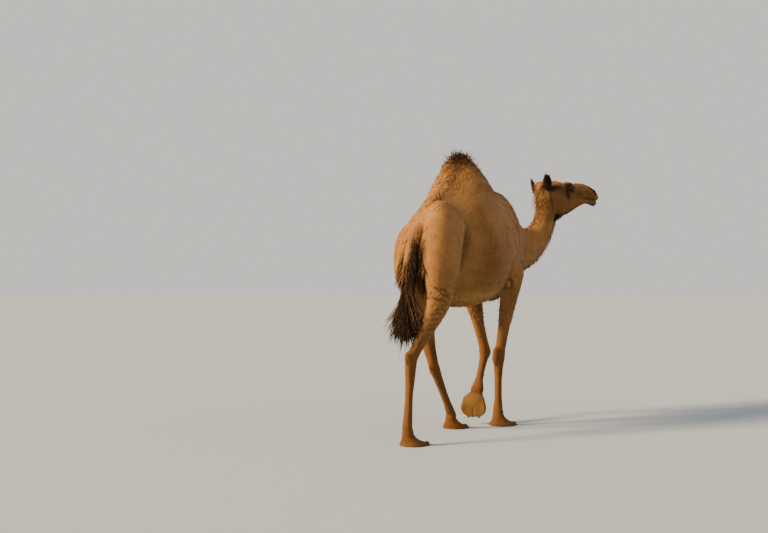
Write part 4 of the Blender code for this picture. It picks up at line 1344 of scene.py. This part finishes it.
def plant(skin: SkinMap, spacing: float, mask: Mask, seed: int) -> Roots:
    """Seeded roots over the skin.

    Args:
        skin: the skin's arrays.
        spacing: the mean distance between neighbours where the mask is 1.
        mask: how thickly hair grows at world points, from 0 to 1.
        seed: the seed of the draw.

    Returns:
        The roots.
    """
    rng = np.random.default_rng(seed)
    thick = mask(skin.points)[skin.corners].mean(axis=1)
    weight = skin.areas * thick
    total = weight.sum()
    count = int(total / spacing**2)
    steps = (np.arange(count) + rng.random(count)) / count  # stratified: no bare gaps
    chosen = np.searchsorted(np.cumsum(weight) / total, steps).clip(0, len(weight) - 1)
    a, b = rng.random(count), rng.random(count)
    fold = a + b > 1
    a[fold], b[fold] = 1 - a[fold], 1 - b[fold]
    share = np.column_stack((1 - a - b, a, b))
    corners = skin.corners[chosen]

    def mixed(values: Array, index: Array) -> Array:
        """The values of each root's triangle corners, blended by its place in the triangle."""
        return np.einsum("nk,nk...->n...", share, values[index])

    marks = {mark: mixed(values, corners) for mark, values in skin.marks.items()}
    normals = unit(mixed(skin.normals, corners))
    return Roots(mixed(skin.points, corners), normals, mixed(skin.uv, skin.loops[chosen]), marks)


@dataclass(frozen=True)
class Locks:
    """How a stretch of hair is made: many like locks, each a closed three-sided blade."""

    name: str
    length: float
    width: float
    lift: float  # degrees above the skin at the root
    rings: int = 2
    spread: float = 0.25  # share by which lengths differ
    stray: float = 10.0  # degrees by which directions differ
    fall: float = 0.0  # how strongly a lock turns down along its length
    curl: float = 0.0  # degrees that it bends to one side or the other
    flatten: float = 0.35  # thickness over width
    sink: float = 0.002  # how deep the root sits in the skin
    roundness: float | None = None  # if set, it is lit as the skin below it is, this much rounded
    slot: str = "coat"

    def grow(
        self, roots: Roots, lie: Array, seed: int, lengths: Array | None = None
    ) -> bpy.types.Object:
        """The locks as one mesh.

        Args:
            roots: where they grow.
            lie: the direction that they lie in.
            seed: the seed of their differences.
            lengths: a factor on each one's length.

        Returns:
            The object, with its map and markings.
        """
        rng = np.random.default_rng(seed)
        count = len(roots.points)
        long = self.length * (1 + self.spread * rng.normal(size=count)).clip(0.35, 1.9)
        long = long * (lengths if lengths is not None else 1.0)
        normal = roots.normals
        across = unit(np.cross(lie, normal))
        turn = np.radians(self.stray) * rng.normal(size=count)
        lie = unit(lie + np.tan(turn.clip(-1.2, 1.2))[:, None] * across)
        lift = np.radians(self.lift * (1 + 0.35 * rng.normal(size=count))).clip(0.0, 1.5)
        heading = unit(np.cos(lift)[:, None] * lie + np.sin(lift)[:, None] * normal)
        bend = np.radians(self.curl) * rng.normal(size=count) / self.rings
        at = roots.points - self.sink * normal
        step = (long / self.rings)[:, None]
        rings = []
        for k in range(self.rings):
            t = k / self.rings
            across = unit(np.cross(heading, normal) + 1e-6)
            top = unit(np.cross(across, heading))
            half = 0.5 * self.width * (0.75 + 0.75 * t - 0.9 * t * t)
            for aside, up in ((-1.0, -0.35), (1.0, -0.35), (0.0, 0.65)):
                rings.append(at + across * (aside * half) + top * (2 * up * half * self.flatten))
            at = at + heading * step
            heading = heading + bend[:, None] * across
            heading[:, 2] -= self.fall * (k + 1) / self.rings
            heading = unit(heading)
        rings.append(at)
        corners = np.stack(rings, axis=1)
        obj = self.mesh(corners, roots, rng.normal(size=count).clip(-2, 2))
        if self.roundness is not None:
            self.soften(obj, roots.normals, across)
        return obj

    def soften(self, obj: bpy.types.Object, normals: Array, across: Array) -> None:
        """Lights each lock roughly as the skin below it, so that a flat coat reads as one surface.

        The normals are brought to length over each lock's corners, component by component, and
        not each one by itself. They keep little more than the signs of the skin's own normal.

        Args:
            obj: the locks.
            normals: the skin's normal at each root.
            across: the direction across each lock.
        """
        aside = np.append(np.tile((-1.0, 1.0, 0.0), self.rings), 0.0)[None, :, None]
        lit = unit(normals[:, None, :] + self.roundness * aside * across[:, None, :])
        obj.data.polygons.foreach_set("use_smooth", np.ones(len(obj.data.polygons), bool))
        obj.data.normals_split_custom_set_from_vertices(lit.reshape(-1, 3))

    def faces(self) -> Array:
        """One lock's triangles, by its own vertex numbers."""
        made = [(0, 2, 1)]
        for ring in range(self.rings - 1):
            low, high = 3 * ring, 3 * ring + 3
            for a, b in ((0, 1), (1, 2), (2, 0)):
                made += [(low + a, low + b, high + b), (low + a, high + b, high + a)]
        last, tip = 3 * (self.rings - 1), 3 * self.rings
        made += [(last + a, last + b, tip) for a, b in ((0, 1), (1, 2), (2, 0))]
        return np.array(made)[:, ::-1]  # so that the faces point outwards

    def mesh(self, corners: Array, roots: Roots, tones: Array) -> bpy.types.Object:
        """One object from all of the locks' corners, none of them under the floor."""
        corners[..., 2] = np.maximum(corners[..., 2], 0.0005)
        count, each = corners.shape[:2]
        one = self.faces()
        faces = (one[None] + each * np.arange(count)[:, None, None]).reshape(-1, 3)
        mesh = bpy.data.meshes.new(self.name)
        mesh.vertices.add(count * each)
        mesh.vertices.foreach_set("co", corners.ravel())
        mesh.loops.add(faces.size)
        mesh.loops.foreach_set("vertex_index", faces.ravel())
        mesh.polygons.add(len(faces))
        mesh.polygons.foreach_set("loop_start", np.arange(0, faces.size, 3))
        mesh.update(calc_edges=True)
        obj = bpy.data.objects.new(self.name, mesh)
        bpy.context.scene.collection.objects.link(obj)
        along_lock = np.append(np.repeat(np.arange(self.rings) / self.rings, 3), 1.0)
        patch = np.column_stack((np.append(np.tile((-0.5, 0.5, 0.0), self.rings), 0.0), along_lock - 0.5))
        uv = (roots.uv[:, None, :] + PATCH * patch[None]).reshape(-1, 2)
        layer = mesh.uv_layers.new(name=UV_NAME)
        layer.data.foreach_set("uv", uv[faces.ravel()].ravel())
        for mark, values in roots.marks.items():
            store(obj, mark.value, np.repeat(values, each))
        store(obj, "tip", np.tile(along_lock, count))
        store(obj, "tone", np.repeat(0.16 * tones, each))
        return obj


PATCH = 0.003  # the size of one lock's place on the map


# ---------------------------------------------------------------- masks: where hair grows
def off_bare(points: Array) -> Array:
    """1 on hairy skin, 0 on eyes, lips, nostrils, calluses and soles."""
    head = in_frame(points, HEAD)
    mirror = folded(head)
    keep = np.ones(len(points))
    for eye in EYES:
        reach, ahead, up = eye.angles(points)
        bare = rise(eye.opening(ahead, up), -0.30, -0.12) * (reach < 0.034)
        keep *= 1 - bare
    slit = [(0.440, 0.055, 0.042), (0.458, 0.060, 0.030), (0.488, 0.050, -0.002)]
    keep *= 1 - streak(mirror, slit, 0.008, 0)
    lips = [(0.400, 0.055, -0.046), (0.440, 0.056, -0.050), (0.530, 0.030, -0.056)]
    keep *= 1 - streak(mirror, lips, 0.006, 0)
    mouth = rise(-mirror[:, 2], 0.050, 0.054) * (1 - rise(-mirror[:, 2], 0.062, 0.066))
    keep *= 1 - (mirror[:, 0] > 0.505) * mouth
    keep *= 1 - rise(markings(points)[Mark.BARE], 0.25, 0.5)
    return keep


def is_face(points: Array) -> Array:
    """1 on the head and ears, 0 on the rest."""
    walk = in_walk(points)
    head = in_frame(points, HEAD)
    return np.maximum(rise(head[:, 0], -0.06, -0.02) * rise(walk[:, 2], 1.68, 1.74), on_ears(head))


def is_trunk(points: Array, start: float, end: float) -> Array:
    """1 on the trunk between two places ahead of the hips, above the legs."""
    walk = in_walk(points)
    x, z = walk[:, 0], walk[:, 2]
    return (x >= start) * (x < end) * (z >= 1.0) * (1 - is_face(points)) * 1.0


def is_leg(points: Array) -> Array:
    """1 on the legs below the trunk, without the dock."""
    walk = in_walk(points)
    dock = (walk[:, 0] < -0.22) * (np.abs(walk[:, 1]) < 0.06) * (walk[:, 2] > 0.95)
    return (walk[:, 2] < 1.0) * (1.0 - dock)


@dataclass
class Coat:
    """All hair on the skin."""

    skin: SkinMap
    bunches: int = 9  # of the tail's brush
    brush_locks: int = 1900
    made: list[bpy.types.Object] = field(default_factory=list)

    def keep(
        self, locks: Locks, roots: Roots, flow: Array, seed: int, factors: Array | None
    ) -> bpy.types.Object:
        """Grows locks from these roots as one piece of the coat, and gives the piece."""
        obj = locks.grow(roots, flow, seed, factors)
        LOG.info("%s: %d locks, %d triangles", locks.name, len(roots.points), len(obj.data.polygons))
        self.made.append(obj)
        return obj

    def add(
        self, locks: Locks, spacing: float, mask: Mask, seed: int,
        lie: Callable[[Roots], Array] | None = None, lengths: Callable[[Array], Array] | None = None,
    ) -> None:
        """Plants and grows one piece of the coat.

        Args:
            locks: the kind of locks.
            spacing: the mean distance between them in metres.
            mask: where they grow.
            seed: the seed of this piece.
            lie: the direction that they lie in, if it isn't the coat's own.
            lengths: a factor on their length by place, if it varies.
        """
        roots = plant(self.skin, spacing, mask, seed)
        flow = lie(roots) if lie else hair_lie(roots.points, roots.normals)
        factors = lengths(roots.points) if lengths else None
        self.keep(locks, roots, flow, seed + 1, factors)

    def short(self) -> None:
        """The short coat that lies flat over trunk, neck, legs and face."""
        flat = dict(rings=2, flatten=0.25, sink=0.0022, roundness=0.15)
        parts = (("rear", -0.5, 0.22), ("middle", 0.22, 0.62), ("front", 0.62, 1.12), ("neck", 1.12, 2.4))
        for k, (word, start, end) in enumerate(parts):
            locks = Locks("coat_" + word, 0.024, 0.0052, 4.5, stray=8.0, **flat)
            self.add(
                locks, 0.0092, lambda p, a=start, b=end: is_trunk(p, a, b) * off_bare(p), 100 + k,
                lengths=lambda p: 1 + 0.8 * rise(in_walk(p)[:, 2], 1.75, 2.05),
            )
        legs = Locks("coat_legs", 0.015, 0.0042, 6.0, stray=9.0, **flat)
        self.add(legs, 0.0087, lambda p: is_leg(p) * off_bare(p), 110)
        face = Locks("coat_face", 0.0095, 0.0026, 8.0, stray=9.0, **(flat | dict(sink=0.0008)))
        self.add(
            face, 0.0050, lambda p: is_face(p) * off_bare(p), 120,
            lengths=lambda p: 1.15 - 0.55 * rise(in_frame(p, HEAD)[:, 0], 0.15, 0.48),
        )

    def hump(self) -> None:
        """Long loose hair on the hump's tip and down the ridge behind it."""
        tip = Locks(
            "hair_hump_tip", 0.056, 0.0040, 40.0, rings=4, stray=20.0, fall=0.06, curl=20.0,
            slot="long_hair",
        )

        def crown(points: Array) -> Array:
            """How far up the hump's tip, from 0 to 1."""
            return rise(in_walk(points)[:, 2], 2.05, 2.16)

        def spread_up(roots: Roots) -> Array:
            """Up and away from the hump's middle, and a little back."""
            away = in_walk(roots.points) - np.array((0.46, 0.0, 1.95))
            flow = unit(away) * np.array((1.0, 1.0, 0.4)) + np.array((-0.25, 0.0, 0.55))
            flow -= (flow * roots.normals).sum(axis=1)[:, None] * roots.normals
            return unit(flow)

        self.add(tip, 0.0085, crown, 200, lie=spread_up, lengths=lambda p: 0.55 + 0.45 * crown(p))
        wisps = Locks(
            "hair_hump_wisps", 0.072, 0.0024, 72.0, rings=5, stray=26.0, curl=34.0, slot="long_hair"
        )
        self.add(wisps, 0.0120, lambda p: rise(in_walk(p)[:, 2], 2.10, 2.18), 205, lie=spread_up)
        ridge = Locks(
            "hair_hump_ridge", 0.036, 0.0046, 9.0, rings=3, stray=12.0, fall=0.12, curl=8.0,
            slot="long_hair",
        )
        rear = [(0.44, 0.0, 2.14), (0.33, -0.02, 2.07), (0.22, -0.03, 1.94), (0.12, -0.03, 1.86),
                (0.02, -0.02, 1.78)]
        fore = [(0.50, 0.0, 2.14), (0.64, 0.0, 2.07), (0.80, 0.0, 1.96), (1.00, 0.0, 1.92),
                (1.22, 0.0, 1.84)]

        def bands(points: Array) -> Array:
            """Along the ridge, thick behind the tip and thin ahead of it."""
            walk = in_walk(points)
            return np.maximum(streak(walk, rear, 0.055, 0), 0.6 * streak(walk, fore, 0.032, 0))

        self.add(ridge, 0.0075, bands, 210)

    def neck(self) -> None:
        """The fringe down the nape and the beard under throat and neck."""
        nape = [(1.30, 0.0, 1.78), (1.44, -0.02, 1.66), (1.55, -0.06, 1.64), (1.62, -0.11, 1.72),
                (1.615, -0.145, 1.85), (1.63, -0.155, 1.98)]
        throat = [(1.90, -0.20, 1.76), (1.86, -0.19, 1.74), (1.82, -0.165, 1.66), (1.78, -0.13, 1.54),
                  (1.66, -0.09, 1.40), (1.50, -0.05, 1.29), (1.36, -0.02, 1.24)]
        fringe = Locks(
            "hair_neck", 0.038, 0.0044, 26.0, rings=3, stray=14.0, fall=0.20, curl=16.0,
            slot="long_hair",
        )

        def bands(points: Array) -> Array:
            """Along nape and throat."""
            walk = in_walk(points)
            back = streak(walk, nape, 0.032, 0)
            front = streak(walk, throat, 0.036, 0)
            return np.maximum(back, 0.9 * front) * off_bare(points)

        self.add(fringe, 0.0070, bands, 220)
        tuft = Locks(
            "hair_nape", 0.060, 0.0038, 34.0, rings=4, stray=16.0, fall=0.30, curl=18.0,
            slot="long_hair",
        )
        behind = [(1.600, -0.095, 1.83), (1.610, -0.090, 1.90), (1.625, -0.095, 1.96)]
        self.add(tuft, 0.0060, lambda p: streak(in_walk(p), behind, 0.032, 0), 225)
        beard = Locks(
            "hair_beard", 0.026, 0.0030, 45.0, rings=3, stray=16.0, fall=0.45, curl=14.0,
            slot="long_hair",
        )

        def under_jaw(points: Array) -> Array:
            """Below the jaw's corners."""
            head = in_frame(points, HEAD)
            return blob(head, (0.075, 0.0, -0.215), (0.065, 0.05, 0.035)) * rise(-head[:, 2], 0.14, 0.18)

        self.add(beard, 0.0032, under_jaw, 230)

    def belly(self) -> None:
        """Looser hair under the belly and on the ears."""
        loose = Locks("hair_belly", 0.030, 0.0046, 18.0, rings=3, stray=14.0, fall=0.20, curl=12.0)

        def low(points: Array) -> Array:
            """Under the belly, between the legs."""
            walk = in_walk(points)
            under = (1 - rise(walk[:, 2], 1.00, 1.06)) * (walk[:, 2] > 0.90) * rise(walk[:, 0], 0.1, 0.2)
            inner = 1 - rise(np.abs(walk[:, 1]), 0.18, 0.26)
            return under * inner * (walk[:, 0] < 1.15) * off_bare(points)

        self.add(loose, 0.0100, low, 240)
        rims = Locks("hair_ears", 0.016, 0.0022, 30.0, rings=2, stray=14.0, curl=10.0)
        self.add(rims, 0.0042, lambda p: on_ears(in_frame(p, HEAD)), 250)

    def tail(self) -> bpy.types.Object:
        """The fringes on both sides of the dock and the long brush at its end.

        Returns:
            The brush, which stands for the CAD solid of the same hair.
        """
        fringe = Locks(
            "hair_tail_fringe", 0.085, 0.0048, 15.0, rings=4, stray=9.0, fall=0.50, curl=10.0,
            slot="long_hair",
        )

        def edges(points: Array) -> Array:
            """Both edges of the dock, the left one more thinly."""
            x, y, z = in_walk(points).T
            dock = (x < -0.15) * (z > 1.16) * (z < 1.56) * (np.abs(y + 0.002) < 0.07)
            return dock * np.maximum(rise(-y, 0.014, 0.034), 0.6 * rise(y, 0.034, 0.044))

        def down(roots: Roots) -> Array:
            """Down, a little back and away from the dock's middle."""
            flow = np.tile(np.array((-0.25, 0.0, -1.0)), (len(roots.points), 1))
            flow[:, 1] = 0.20 * np.sign(in_walk(roots.points)[:, 1] + 0.002)
            return unit(flow)

        self.add(
            fringe, 0.0048, edges, 260, lie=down,
            lengths=lambda p: 0.55 + 0.55 * rise(-in_walk(p)[:, 2], -1.50, -1.25),
        )
        return self.brush()

    def brush(self) -> bpy.types.Object:
        """Long locks that hang from the end of the dock in a few ragged bunches."""
        rng = np.random.default_rng(270)
        count = self.brush_locks
        low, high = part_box("tail_brush")
        top = (middle("tail_brush").x + 0.02, middle("tail_brush").y, high.z)
        t = rng.random(count) ** 1.3
        around = rng.random(count) * 2 * math.pi
        girth = 0.024 - 0.012 * t
        points = np.column_stack((
            top[0] - 0.028 * t + girth * np.cos(around) * 0.8,
            top[1] + 1.5 * girth * np.sin(around),
            top[2] + 0.03 - 0.24 * t,
        ))
        normals = unit(np.column_stack((np.cos(around), np.sin(around), np.full(count, -0.15))))
        near = self.nearest(points)
        marks = {mark: np.full(count, 1.0 if mark is Mark.DARK else 0.0) for mark in Mark}
        marks[Mark.DARK] -= 0.25 * (rng.random(count) > 0.90)
        roots = Roots(points, normals, self.skin.uv[near], marks)
        ends = rng.normal(size=(self.bunches, 3)).clip(-1.6, 1.6) * np.array((0.018, 0.026, 0.035))
        ends += np.array((top[0] - 0.045, top[1] + 0.018, low.z + 0.055))
        bunch = rng.integers(0, self.bunches, count)
        towards = ends[bunch] + rng.normal(size=(count, 3)) * np.array((0.010, 0.010, 0.022))
        towards[:, 1] += 0.35 * (points[:, 1] - top[1])
        flow = towards - points
        reach = np.linalg.norm(flow, axis=1)
        flow = unit(flow) + np.column_stack((np.zeros(count), 0.12 * np.cos(around), np.zeros(count)))
        locks = Locks(
            "hair_tail_brush", 0.30, 0.0062, 2.0, rings=7, spread=0.10, stray=3.5, fall=0.02,
            curl=16.0, slot="long_hair",
        )
        return self.keep(locks, roots, unit(flow), 271, np.clip(reach / locks.length, 0.3, 1.6))

    def nearest(self, points: Array) -> Array:
        """The map corners of the skin nearest to these points, on the dock."""
        dock = np.nonzero(
            (in_walk(self.skin.points)[:, 0] < -0.24) & (in_walk(self.skin.points)[:, 2] > 1.15)
        )[0]
        known = np.zeros(len(self.skin.points), int)
        known[self.skin.corners.ravel()] = self.skin.loops.ravel()
        gaps = ((points[:, None] - self.skin.points[None, dock]) ** 2).sum(axis=2)
        return known[dock[gaps.argmin(axis=1)]]

    def lashes(self) -> None:
        """A row of long lashes on each upper lid and a short row below."""
        rng = np.random.default_rng(280)
        for eye in EYES:
            points, normals, flows, lengths = [], [], [], []
            frame_of_eye = eye.frame()
            turn = np.array(frame_of_eye.to_3x3())
            for edge, share, count in ((eye.upper, 1.0, 70), (-eye.lower, 0.45, 40)):
                for k in range(count):
                    ahead = (2 * (k + rng.random()) / count - 1) * eye.half_width * 0.92
                    bow = (1 - (ahead / eye.half_width) ** 2) ** 0.75
                    up = edge * bow * 1.04 - ahead * math.tan(math.radians(eye.slant)) + rng.normal() * 0.8
                    a, u = math.radians(-eye.side * ahead), math.radians(up)
                    out = np.array((math.cos(u) * math.cos(a), math.cos(u) * math.sin(a), math.sin(u)))
                    bend = np.array((0.8, 0.0, 0.35 if edge > 0 else -0.5))
                    points.append(out * eye.lid_radius * 1.005)
                    normals.append(out)
                    flows.append(out + bend)
                    lengths.append(share * (0.75 + 0.5 * bow))
            place = np.array(points) @ turn.T + np.array(frame_of_eye.translation)
            count = len(points)
            close = ((self.skin.points - np.array(eye.centre())) ** 2).sum(axis=1).argmin()
            known = self.skin.loops[np.nonzero((self.skin.corners == close).any(axis=1))[0][0], 0]
            marks = {mark: np.full(count, 0.97 if mark is Mark.DARK else 0.0) for mark in Mark}
            uv = np.tile(self.skin.uv[known], (count, 1))
            roots = Roots(place, unit(np.array(normals) @ turn.T), uv, marks)
            locks = Locks(
                "lashes_" + eye.word, 0.017, 0.0011, 4.0, rings=4, stray=5.0, fall=0.22, curl=6.0,
                flatten=0.6,
            )
            self.keep(locks, roots, unit(np.array(flows) @ turn.T), 281, np.array(lengths))

    def build(self, finish: bpy.types.Material) -> bpy.types.Object:
        """Grows all of it and gives it its finish.

        Args:
            finish: the material that skin and coat share.

        Returns:
            The tail's brush.
        """
        self.short()
        self.hump()
        self.neck()
        self.belly()
        self.lashes()
        brush = self.tail()
        for piece in self.made:
            piece.data.materials.append(finish)
            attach(piece, BODY)
        return brush


# ---------------------------------------------------------------- nails
@dataclass
class Nails:
    """A short blunt claw on each toe."""

    voxel: float = 0.0012
    # The height and pitch, in radians a metre, of the ridges along the foot and across it.
    ridges: tuple[tuple[float, float], ...] = ((0.0004, 2600.0), (0.0003, 3900.0))

    def build(self) -> None:
        """Replaces each plain nail by a ridged one with a worn edge."""
        finish = NailFinish().build()
        for leg in LEGS:
            for k in (1, 2):
                node = f"nail_{leg.name}_{k}"
                nail = solid_copy("claw_" + node[5:], (node,))
                apply_modifier(nail, "REMESH", mode="VOXEL", voxel_size=self.voxel)
                apply_modifier(nail, "SMOOTH", factor=0.5, iterations=6)
                points = coordinates(nail)
                local = in_frame(points, leg.foot_frame())
                raised = sum(
                    height * np.sin(local[:, axis] * pitch)
                    for axis, (height, pitch) in enumerate(self.ridges)
                )
                set_coordinates(nail, points + vertex_normals(nail) * raised[:, None])
                pick(nail)
                bpy.ops.object.shade_smooth()
                nail.data.materials.append(finish)
                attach(nail, BODY)
                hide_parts(node)


# ---------------------------------------------------------------- studio
@dataclass
class Studio:
    """Pale floor, soft light and the camera."""

    camera_at: Point = (-6.866, -4.219, 1.18)
    heading: float = -56.0  # degrees about Z from looking along +Y
    pitch: float = 0.725
    lens: float = 50.0
    sensor: float = 36.0
    floor_half: float = 60.0
    floor_colour: str = "#919ba7"
    floor_cloud: str = "#96a0ac"
    air_colour: str = "#ece8e2"
    air_strength: float = 0.95
    lamps: tuple[tuple[str, Point, float, float, str], ...] = (  # as lamp() takes them
        ("key_light", (-0.76, 0.52, 0.44), 14.0, 13.0, "#ffdcae"),
        ("fill_light", (0.10, -0.60, 0.80), 70.0, 0.3, "#fff1e2"),
    )

    def floor(self) -> None:
        """A wide pale floor."""
        bpy.ops.mesh.primitive_plane_add(size=2 * self.floor_half, location=(0, 0, 0))
        floor = bpy.context.active_object
        floor.name = "studio_floor"
        tree, shader = new_material("matt_floor_paint", roughness=0.9)
        place = add_node(tree, "ShaderNodeTexCoord").outputs["Object"]
        cloud = add_node(tree, "ShaderNodeTexNoise", {"Vector": place, "Scale": 0.6}).outputs[0]
        share = add_node(
            tree, "ShaderNodeMapRange", {"Value": cloud, "From Min": -2.0, "From Max": 3.0}
        ).outputs[0]
        colour = add_node(
            tree, "ShaderNodeMix",
            {0: share, 6: linear(self.floor_colour), 7: linear(self.floor_cloud)}, data_type="RGBA",
        ).outputs[2]
        tree.links.new(colour, shader.inputs["Base Color"])
        floor.data.materials.append(bpy.data.materials["matt_floor_paint"])

    def lamp(self, name: str, towards: Point, spread: float, power: float, colour: str) -> None:
        """A wide soft light from far off.

        Args:
            name: the lamp's name.
            towards: the direction in which it lies from the animal.
            spread: how wide it looks, in degrees.
            power: its strength in watts a square metre.
            colour: its colour.
        """
        light = bpy.data.lights.new(name, "SUN")
        light.angle = math.radians(spread)
        light.energy = power
        light.color = linear(colour)[:3]
        lamp = bpy.data.objects.new(name, light)
        lamp.rotation_euler = Vector(towards).to_track_quat("Z", "Y").to_euler()
        bpy.context.scene.collection.objects.link(lamp)

    def air(self) -> None:
        """The pale surroundings."""
        world = bpy.data.worlds.new("studio_air")
        world.use_nodes = True
        background = world.node_tree.nodes["Background"]
        background.inputs["Color"].default_value = linear(self.air_colour)
        background.inputs["Strength"].default_value = self.air_strength
        bpy.context.scene.world = world

    def camera(self) -> None:
        """The camera, low behind the animal's right side."""
        data = bpy.data.cameras.new("camera")
        data.lens = self.lens
        data.sensor_width = self.sensor
        obj = bpy.data.objects.new("camera", data)
        obj.location = Vector(self.camera_at) + WALK
        obj.rotation_euler = Euler((math.radians(90 + self.pitch), 0, math.radians(self.heading)))
        bpy.context.scene.collection.objects.link(obj)
        bpy.context.scene.camera = obj

    def build(self) -> None:
        """Sets it all up."""
        self.floor()
        self.air()
        for lamp in self.lamps:
            self.lamp(*lamp)
        self.camera()


def main() -> None:
    """Builds the camel, its coat and the studio."""
    deselect_all()
    maker = Skin()
    skin = maker.build()
    marks = markings(coordinates(skin))
    for mark, values in marks.items():
        store(skin, mark.value, values)
    store(skin, "tip", np.zeros(len(skin.data.vertices)))
    store(skin, "tone", np.full(len(skin.data.vertices), -0.05))
    finish = CoatFinish().build()
    skin.data.materials.append(finish)
    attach(skin, BODY)
    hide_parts(*maker.flesh)
    LOG.info("skin: %d triangles", sum(len(p.vertices) - 2 for p in skin.data.polygons))
    for eye in EYES:
        ball = eye.build()
        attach(ball, BODY)
        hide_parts("eye_" + eye.word)
        LOG.info("%s: done", ball.name)
    brush = Coat(SkinMap.of(skin, marks)).build(finish)
    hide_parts("tail_brush")
    Nails().build()
    Studio().build()
    deselect_all()


if __name__ == "__main__":
    main()
